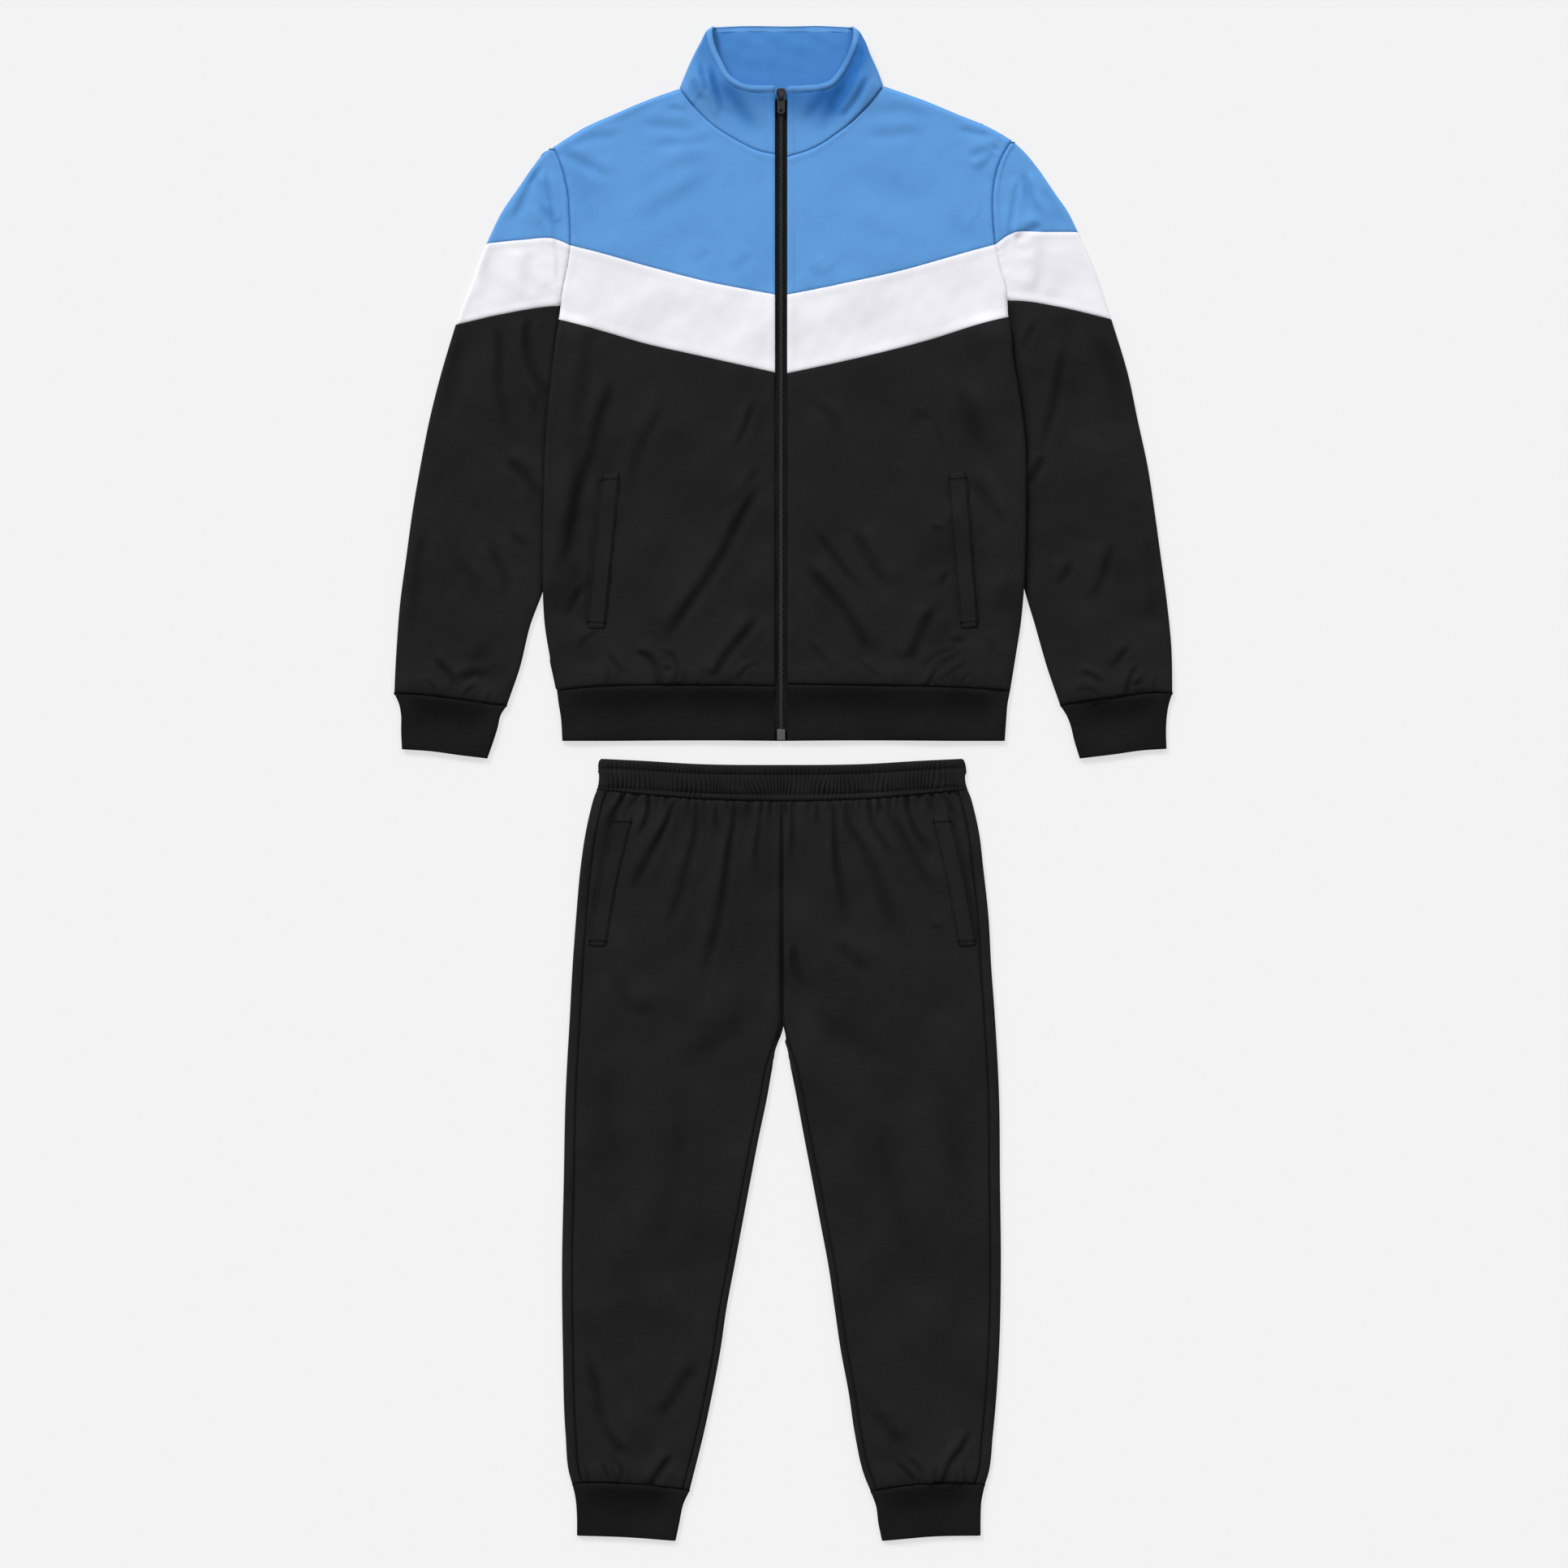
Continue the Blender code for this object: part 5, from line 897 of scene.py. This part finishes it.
for name, hand in HANDS.items():
    lay = sleeve_lay(hand)
    tip = np.array(side_of(CAP_LAID, hand)[0], float)
    cap = patch(lambda t, p=tip: np.broadcast_to(p, np.shape(t) + (2,)), line_of(SLEEVE_BLUE, hand),
                line_of(CAP_LAID, hand), line_of(ARMHOLE_TOP, hand))
    us, ul = shares(95, 2.2, "fold", "seam"), shares(95, STEP_BACK, "fold", "seam")
    vs = np.concatenate([[0.03], shares(120, 2.4, "seam", "seam")[5:]])
    grid, side = around(cap(us, vs), cap(ul, vs))
    cloth(f"cloth_sleeve_cap_{name}", lay, grid, side, JACKET_AT, BLUE, KNIT, f"jacket_sleeve_cap_{name}",
          (2.0, 0, 0, .8), (.25, 0, 0, .1), (.9, 0, 0, 0), allow=(0, 4.5))
    band = panel(SLEEVE_BLUE, SLEEVE_BLACK, SLEEVE_BAND, ARMHOLE_LOW, hand)
    vs = shares(85, 2.4, "seam", "seam")
    grid, side = around(band(us, vs), band(ul, vs))
    cloth(f"cloth_sleeve_band_{name}", lay, grid, side, JACKET_AT, WHITE, KNIT,
          f"jacket_sleeve_band_{name}", (1.4, 0, .8, .9), (.2, 0, .1, .1), (.6, 0, .3, .3), allow=(0, 4.5))
    low = panel(SLEEVE_BLACK, CUFF_SEAM, SLEEVE_OUT, SLEEVE_TUCKED, hand)
    us, ul = shares(140, 3.0, "fold", "fold"), shares(140, STEP_BACK, "fold", "fold")
    vs = shares(440, 3.2, "seam", "seam")
    grid, side = ring(low(us, vs), low(ul, vs))
    cloth(f"cloth_sleeve_{name}", lay, grid, side, JACKET_AT, BLACK, KNIT, f"jacket_sleeve_{name}",
          (0, 0, .8, 1.9), (0, 0, .1, .5), (0, 0, 0, .3), closed=True, puff=1.5, allow=(0, 4.0))
    cuff = panel(CUFF_SEAM, CUFF_EDGE, CUFF_OUT, CUFF_IN, hand)
    us, vs = shares(115, 2.2, "fold", "fold"), shares(64, 2.6, "seam", "seam")
    grid, side = ring(cuff(us, vs), cuff(us, vs))
    lay = Lay([side_of(CUFF_OUT, hand), side_of(CUFF_IN, hand)], SLEEVE_HIGH, soft=RIB_ROUND, seed=20, calm=0.5)
    cloth(f"cloth_cuff_{name}", lay, grid, side, JACKET_AT, RIBBED, RIB, f"jacket_cuff_{name}",
          (0, 0, 1.7, .6), (0, 0, .3, 0), closed=True, sink=2.6)


def welt(name, lay, opening, inner, at, node):
    grid = patch(curve([opening[0], inner[0]]), curve([opening[-1], inner[-1]]), curve(opening), curve(inner))(
        shares(20, 2.0, "seam", "seam"), shares(170, 2.6, "seam", "seam"))
    cloth(name, lay, grid, 1, at, BLACK, WELT, node, (1.1, 1.1, 1.0, 1.0),
          raised=WELT_GAP * 0.5 + WELT + 0.3)


for name, hand in HANDS.items():
    welt(f"cloth_jacket_welt_{name}", BODY, side_of(POCKET_OPEN, hand), side_of(POCKET_IN, hand), JACKET_AT,
         f"jacket_welt_{name}")


WAIST_STITCHES = (10.4, 32.4)


def gather(x, down, side):
    """Elastic gathers, uneven in width, depth and lean, held down by the two rows of stitches, with painted shade in
    their troughs and along the stitch rows.
    """
    lean = 0.16 * np.sin(x / 21.0) + 0.13 * np.sin(x / 9.0 + 2) + 0.10 * np.sin(x / 47.0)
    phase = (2 * math.pi * (x + 206) / 4.6 + 2.1 * np.sin(x / 11.0) + 1.3 * np.sin(x / 5.3 + 1) + (down - 16) * lean
             + 0.9 * np.sin(down / 5.0 + x / 14.0))
    wave = 0.5 + 0.5 * np.cos(phase)
    rows = sum(np.exp(-((down - row) / 1.3) ** 2) for row in WAIST_STITCHES)
    deep = (0.86 + 0.2 * np.sin(x / 13.0 + down / 9) + 0.16 * np.sin(x / 6.1 - down / 5)) * (1 - 0.5 * rows)
    deep = deep * (0.75 + 0.5 * ease((down - 14) / 14))
    deep = deep * ease((204 - abs(x)) / 8) * (1 - 0.6 * ease((down - 32) / 3)) * (0.2 + 0.8 * ease(down / 3.5))
    # Painted shade in the troughs of the gathers and along the stitch rows
    painted_gather_shade = np.where(side > 0, 1.05 * (1 - wave) ** 2 * np.clip(deep, 0, 1.3) + 0.9 * rows, 0)
    edges = 0.5 * np.exp(-((down - 4) / 3.0) ** 2) + 0.35 * np.exp(-((down - 36.5) / 3) ** 2)
    top = deep * (2.0 * wave - 0.9) - 1.1 * rows + edges
    return np.where(side > 0, top, np.where(side < 0, 0.9 * deep * wave, 0)), painted_gather_shade


legs = [side_of(WAIST_SIDE, h) + side_of(LEG_OUT, h)[1:] for h in (-1, 1)]
WAIST = Lay(legs, LEG_HIGH, soft=RIB_ROUND, seed=31, calm=0.5)
WAIST_PLAN = patch(*(curve(side_of(t, -1) + side_of(t, 1)[-2::-1]) for t in (WAIST_TOP, WAIST_SEAM)),
                   line_of(WAIST_SIDE, -1), line_of(WAIST_SIDE, 1))
for name, s in (("front", 1), ("back", -1)):
    step = 0.95 if s > 0 else 2.2
    grid = WAIST_PLAN(shares(414, step, "fold", "fold"), shares(38, 2.0 if s > 0 else 4.0, "seam", "seam"))
    cloth(f"cloth_waistband_{name}", WAIST, grid, s, JOGGERS_AT, BLACK, 1.4,
          f"joggers_waistband_{name}", (0, 0, .9, 1.5),
          waves=gather, allow=(0, 4.0 * (s > 0)))


def leg_extra(x, y):
    """Ease drawn into the waistband: short flutes that die out below the seam."""
    phase = 2 * math.pi * (x + 206) / 11.5 + 1.5 * np.sin(x / 17.0) + 1.0 * np.sin(x / 7.3 + 1)
    d = np.maximum(838.5 + 13.5 * (abs(x) / 210) ** 2 - y, 0.0)
    pucker = np.cos(1.31 * phase + 2.2 * np.sin(x / 11.0)) * np.exp(-(d / 6.5) ** 2)
    return (1.6 * np.cos(phase) * (0.7 + 0.5 * np.sin(x / 21.0 + 2)) - 0.5) * np.exp(-(d / 13) ** 1.3) + 0.5 * np.cos(
        phase / 2 + 1) * np.exp(-d / 34) + 0.9 * pucker


LEG_LAID = [(0.4, 593, 0.4, 593), (3.6, 578, 2.6, 578), (8, 555, 6, 555)] + LEG_IN[3:]
CROTCH = LEG_LAID[0][1]
LEG_LAYS = {}
for name, hand in HANDS.items():
    out, inn = side_of(LEG_OUT, hand), side_of(LEG_LAID, hand)
    lay = Lay([side_of(WAIST_SIDE, hand) + out[1:], inn], LEG_HIGH, JOGGER_CREASES, BACK_JOGGERS, seed=40 + hand,
              extra=leg_extra)
    centre = joined([(hand * 0.04, WAIST_SEAM[-1][1]), (hand * 0.1, CROTCH)], inn)
    edges = line_of(WAIST_SEAM, hand), line_of(ANKLE_SEAM, hand), curve(out), centre
    vs = shares(790, 4.4, "seam", "seam")
    w = np.array([np.linalg.norm(r[1] - r[0]) for r in np.moveaxis(patch(*edges)([0.0, 1.0], vs), 1, 0)])
    wrap = INSEAM_IN * ease((CROTCH - 6 - centre(vs)[:, 1]) / 60)

    def rowwise(c):
        """Plan points at distances c (columns by rows) from the outer fold."""
        return between(*edges, c / w, vs[None])

    k = shares(210, 2.3, "seam", "seam", 0)[:, None]
    lo, hi = SIDE_SEAM_IN + 0.04, w - wrap - 0.04
    cloth(f"cloth_leg_front_{name}", lay, rowwise(lo + (hi - lo) * k), 1, JOGGERS_AT, BLACK, KNIT,
          f"joggers_leg_front_{name}", (1.7, 1.8, 1.6, 1.9), (.06, .06, .3, .5),
          (.2, .2, .3, .3), puff=1.4, allow=(np.where(wrap > 2, 3.5, 4.0 if hand < 0 else 0.4), 4.0))
    turn = np.array([ROUND * (1 - math.cos(a * math.pi / 14)) for a in range(8)])
    first = [SIDE_SEAM_IN - .04, SIDE_SEAM_IN - .5, SIDE_SEAM_IN - 1.1, SIDE_SEAM_IN - 1.9, 8.9, 7.0]
    first = np.array(first)[:, None] + 0 * w
    top_out = np.concatenate([first, turn[:0:-1, None] + 0 * w])
    flat = np.linspace(0, 1, 28)[1:-1, None]
    low = np.concatenate([turn[1:, None] + 0 * w, 5 + (w - 11) * flat, (w - 6)[None]])
    tail = (np.linspace(0, 1, 14)[1:, None] * (6 + wrap - 0.04)[None])
    left = 6 - tail
    inner = w - abs(left)
    inner_side = np.where((left > 0.02) | (wrap < 0.3), -1.0, 1.0)
    c = np.concatenate([top_out, 0 * w[None], low, inner])
    side = np.concatenate([np.ones_like(top_out), 0 * w[None], -np.ones_like(low), inner_side])
    cloth(f"cloth_leg_back_{name}", lay, rowwise(c), side, JOGGERS_AT, BLACK, KNIT,
          f"joggers_leg_back_{name}", (1.7, 1.2, 1.2, 1.3), (.06, 0, .1, .3))
    plan = panel(ANKLE_SEAM, ANKLE_EDGE, ANKLE_OUT, ANKLE_IN, hand)
    us, vs = shares(122, 2.2, "fold", "fold"), shares(60, 2.6, "seam", "seam")
    grid, side = ring(plan(us, vs), plan(us, vs))
    cuff_lay = Lay([side_of(ANKLE_OUT, hand), side_of(ANKLE_IN, hand)], LEG_HIGH, soft=RIB_ROUND, seed=50, calm=0.5)
    cloth(f"cloth_ankle_{name}", cuff_lay, grid, side, JOGGERS_AT, RIBBED, RIB, f"joggers_cuff_{name}",
          (0, 0, 1.7, .6), (0, 0, .3, 0), closed=True, sink=2.6)
    welt(f"cloth_joggers_welt_{name}", lay, side_of(LEG_POCKET_OPEN, hand), side_of(LEG_POCKET_IN, hand),
         JOGGERS_AT, f"joggers_welt_{name}")
    LEG_LAYS[hand] = lay


class Level:
    """A flat place for stitches."""
    def __init__(self, z):
        self.z = z

    def height(self, x, y, side):
        return np.full_like(x, self.z)


STITCH_PITCH, STITCH_LONG, THREAD_ROUND = 3.1, 2.4, 0.32


def stitch_mesh(name, rows, colour):
    """Rows of single stitches: each row is a lay, a line in plan, the garment's place and a rise."""
    verts, faces = [], []
    for lay, line, at, rise in rows:
        p = np.asarray(line, float)
        s = np.r_[0, np.cumsum(np.hypot(*np.diff(p, axis=0).T))]
        for start in np.arange(0.4, s[-1] - STITCH_LONG, STITCH_PITCH):
            q = start + np.array([0.0, 0.45, 1.95, STITCH_LONG])
            x, y = np.interp(q, s, p[:, 0]), np.interp(q, s, p[:, 1])
            z = lay.height(x.copy(), y.copy(), np.ones(4)) + rise
            d = np.array([x[-1] - x[0], y[-1] - y[0], 0.0])
            d /= max(np.linalg.norm(d), 1e-9)
            n = np.array([-d[1], d[0], 0.0])
            base = len(verts)
            for k, r in enumerate((0.0, THREAD_ROUND, THREAD_ROUND, 0.0)):
                c = np.array([x[k] + at[0], y[k] + at[1], z[k] + (0.18 if r else -0.15)])
                if r:
                    for a in range(5):
                        g = 2 * math.pi * a / 5
                        verts.append(tuple((c + r * (math.cos(g) * n + math.sin(g) * np.array([0, 0, 1.0]))) / 1000))
                else:
                    verts.append(tuple(c / 1000))
            for a in range(5):
                b = (a + 1) % 5
                faces.append((base, base + 1 + a, base + 1 + b))
                faces.append((base + 1 + a, base + 6 + a, base + 6 + b, base + 1 + b))
                faces.append((base + 11, base + 6 + b, base + 6 + a))
    mesh = solid_mesh(name, verts, faces)
    mesh.shade_smooth()
    mesh.materials.append(THREADS[colour])
    ob = placed(name, mesh)
    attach(ob, "garment")


def upright(x, y0, y1):
    return [(x, y0), (x, y1)]


def crossing(points, x):
    """The height at which a line that starts at the zip crosses an upright."""
    return float(np.interp(abs(x), [abs(p[0]) for p in points], [p[1] for p in points]))


def inset(line, centre, by):
    """The same line moved away from a point."""
    p = np.asarray(line, float)
    t = np.gradient(p, axis=0)
    n = np.stack([-t[:, 1], t[:, 0]], -1) / np.linalg.norm(t, axis=1)[:, None]
    if ((p - centre) * n).sum() < 0:
        n = -n
    return p + by * n


blue_rows, white_rows, black_rows = [], [], []
for hand in (-1, 1):
    x = ZIP_X + hand * (ZIP_GAP + 8.2)
    seam_y = [crossing(side_of(t, hand)[::-1], x) for t in (SEAM_BLUE, SEAM_BLACK, SEAM_HEM)]
    neck_y = crossing(side_of(NECK, hand), x)
    blue_rows += [(BODY, upright(x, neck_y - 1, seam_y[0] + 1), JACKET_AT, 0),
                  (NECKED, upright(x, 735, neck_y + 1), JACKET_AT, 0)]
    white_rows.append((BODY, upright(x, seam_y[0] - 1, seam_y[1] + 1), JACKET_AT, 0))
    black_rows.append((BODY, upright(x, seam_y[1] - 1, seam_y[2] + 1), JACKET_AT, 0))
    line = inset(line_of(COLLAR_TOP, hand)(np.linspace(0, 1, 80)), np.array([0.0, 790.0]), 7.2)
    line = line[(line[:, 0] * hand > 16 + 2 * (hand < 0)) & (line[:, 1] < 795)]
    blue_rows.append((NECKED, line, JACKET_AT, 0))
    for lay, a, b, at in ((BODY, POCKET_OPEN, POCKET_IN, JACKET_AT),
                          (LEG_LAYS[hand], LEG_POCKET_OPEN, LEG_POCKET_IN, JOGGERS_AT)):
        a, b = line_of(a, hand)(np.linspace(0, 1, 30)), line_of(b, hand)(np.linspace(0, 1, 30))
        lift = WELT_GAP * 0.5 + WELT
        for k in (0.1, 0.9):
            black_rows.append((lay, a + (b - a) * k, at, lift))
        for end, step in ((1, 1), (28, -1)):
            for k in (0, 0.65, 1.3, 1.95):
                along = (a[end + step] - a[end]) / np.hypot(*(a[end + step] - a[end])) * k
                black_rows.append((lay, [a[end] + along + (b[end] - a[end]) * g for g in (-0.04, 1.04)], at, lift))
blue_rows.append((Level(2.45), curve([(-72, 804.4), (-36, 805.4), (0, 805.2), (36, 805.4), (70, 804.6)])(
    np.linspace(0, 1, 60)), JACKET_AT, 0))
stitch_mesh("stitches_blue", blue_rows, "blue")
stitch_mesh("stitches_white", white_rows, "white")
stitch_mesh("stitches_black", black_rows, "black")
waist_rows = [(WAIST, WAIST_PLAN(np.linspace(0.02, 0.98, 90), [v])[:, 0], JOGGERS_AT, -0.35) for v in (0.25, 0.78)]
stitch_mesh("stitches_waist", waist_rows, "black")

zx, zy, tape_top = ZIP_X + JACKET_AT[0], JACKET_AT[1], JACKET_HIGH - RIB - 0.3
BOX_TOP, COIL_FOOT, FIRST_TOOTH, TOOTH_PITCH = 13.2, 13.6, 13.8, 1.25
verts, faces = [], []
for k in range(int((COIL_TOP - COIL_FOOT) / TOOTH_PITCH)):
    hand = 1 if k % 2 else -1
    y = zy + FIRST_TOOTH + TOOTH_PITCH * k
    x0, x1 = zx + hand * 2.6, zx - hand * 0.5
    base = len(verts)
    for x, hw, zt in ((x0, 0.5, 0.7), (x0 - hand * 0.5, 0.56, 1.6), (x1 + hand * 0.3, 0.56, 1.8), (x1, 0.45, 0.9)):
        for yy, zz in ((y - hw, 0.1), (y - hw * 0.8, zt), (y + hw * 0.8, zt), (y + hw, 0.1)):
            verts.append((x / 1000, yy / 1000, (tape_top + 0.25 + zz) / 1000))
    for a in range(3):
        for b in range(4):
            i, j = base + 4 * a + b, base + 4 * a + (b + 1) % 4
            faces.append((i, j, j + 4, i + 4))
    faces += [(base, base + 3, base + 2, base + 1), (base + 12, base + 13, base + 14, base + 15)]
mesh = solid_mesh("zip_teeth", verts, faces)
mesh.materials.append(COIL)
teeth = placed("zip_teeth", mesh)
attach(teeth, "garment")
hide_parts("zip_coil")

for node, body, slot, mat, width in (("zip_slider", "garment", "zip_metal", METAL, 0.35),
                                     ("zip_pull_tab", "pull", "zip_metal", METAL, 0.3),
                                     ("zip_box", "garment", "zip_plastic", STOP, 0.6)):
    mesh = bpy.data.objects[node].data.copy()
    mesh.materials.clear()
    mesh.materials.append(mat)
    ob = placed("fine_" + node, mesh)
    bm = bmesh.new()
    bm.from_mesh(mesh)
    bmesh.ops.remove_doubles(bm, verts=bm.verts, dist=1e-6)
    if node == "zip_box":
        low, high = min(v.co.y for v in bm.verts), max(v.co.y for v in bm.verts)
        for v in bm.verts:
            v.co.y = low + (v.co.y - low) * ((zy + BOX_TOP) / 1000 - low) / (high - low)
    bmesh.ops.dissolve_limit(bm, angle_limit=0.02, verts=bm.verts, edges=bm.edges)
    bm.to_mesh(mesh)
    bm.free()
    m = ob.modifiers.new("edge", "BEVEL")
    m.width, m.segments, m.limit_method, m.angle_limit = width / 1000, 3, "ANGLE", math.radians(35)
    mesh.shade_smooth()
    mesh.set_sharp_from_angle(angle=math.radians(50))
    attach(ob, body)
    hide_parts(node)
for node in ("zip_tape_left", "zip_tape_right"):
    for s in bpy.data.objects[node].material_slots:
        s.material = TAPE

FLOOR_GREY, FLOOR_GLOW, WORLD_LIGHT = 0.24, 0.648, 0.28
# Name, strength, softness, tilt and turn, the last three in degrees
SUNS = (("window", 2.7, 20, 56, 34), ("second_window", 1.22, 36, 52, -28))
LENS, SENSOR, PHOTO_PIXELS, MM_PER_PIXEL = 85, 36, 1932, 0.92

bm = bmesh.new()
bmesh.ops.create_grid(bm, x_segments=8, y_segments=8, size=6.0)
mesh = bpy.data.meshes.new("floor")
bm.to_mesh(mesh)
bm.free()
floor = placed("floor", mesh)
floor.location.z = -0.0002
pale = plain("pale_floor", (FLOOR_GREY,) * 3, 0.9, 0.1, 3.0, 0.0)
for e in pale.node_tree.nodes["Color Ramp"].color_ramp.elements:
    e.color = (*(FLOOR_GREY,) * 3, 1)
principled(pale, Emission_Color=(1, 1, 1, 1), Emission_Strength=FLOOR_GLOW)
mesh.materials.append(pale)

world = bpy.data.worlds.new("studio")
bpy.context.scene.world = world
world.use_nodes = True
world.node_tree.nodes["Background"].inputs["Color"].default_value = (1, 1, 1, 1)
world.node_tree.nodes["Background"].inputs["Strength"].default_value = WORLD_LIGHT
for name, energy, soft, tilt, turn in SUNS:
    sun = bpy.data.lights.new(name, "SUN")
    sun.energy, sun.angle = energy, math.radians(soft)
    placed(name, sun).rotation_euler = (math.radians(-tilt), 0, math.radians(turn))

cam = bpy.data.cameras.new("camera")
cam.lens, cam.sensor_width = LENS, SENSOR
eye = placed("camera", cam)
eye.location = (0.001, -0.0014, PHOTO_PIXELS * MM_PER_PIXEL / 1000 * LENS / SENSOR + 0.006)
bpy.context.scene.camera = eye
bpy.context.scene.view_settings.view_transform = "Standard"
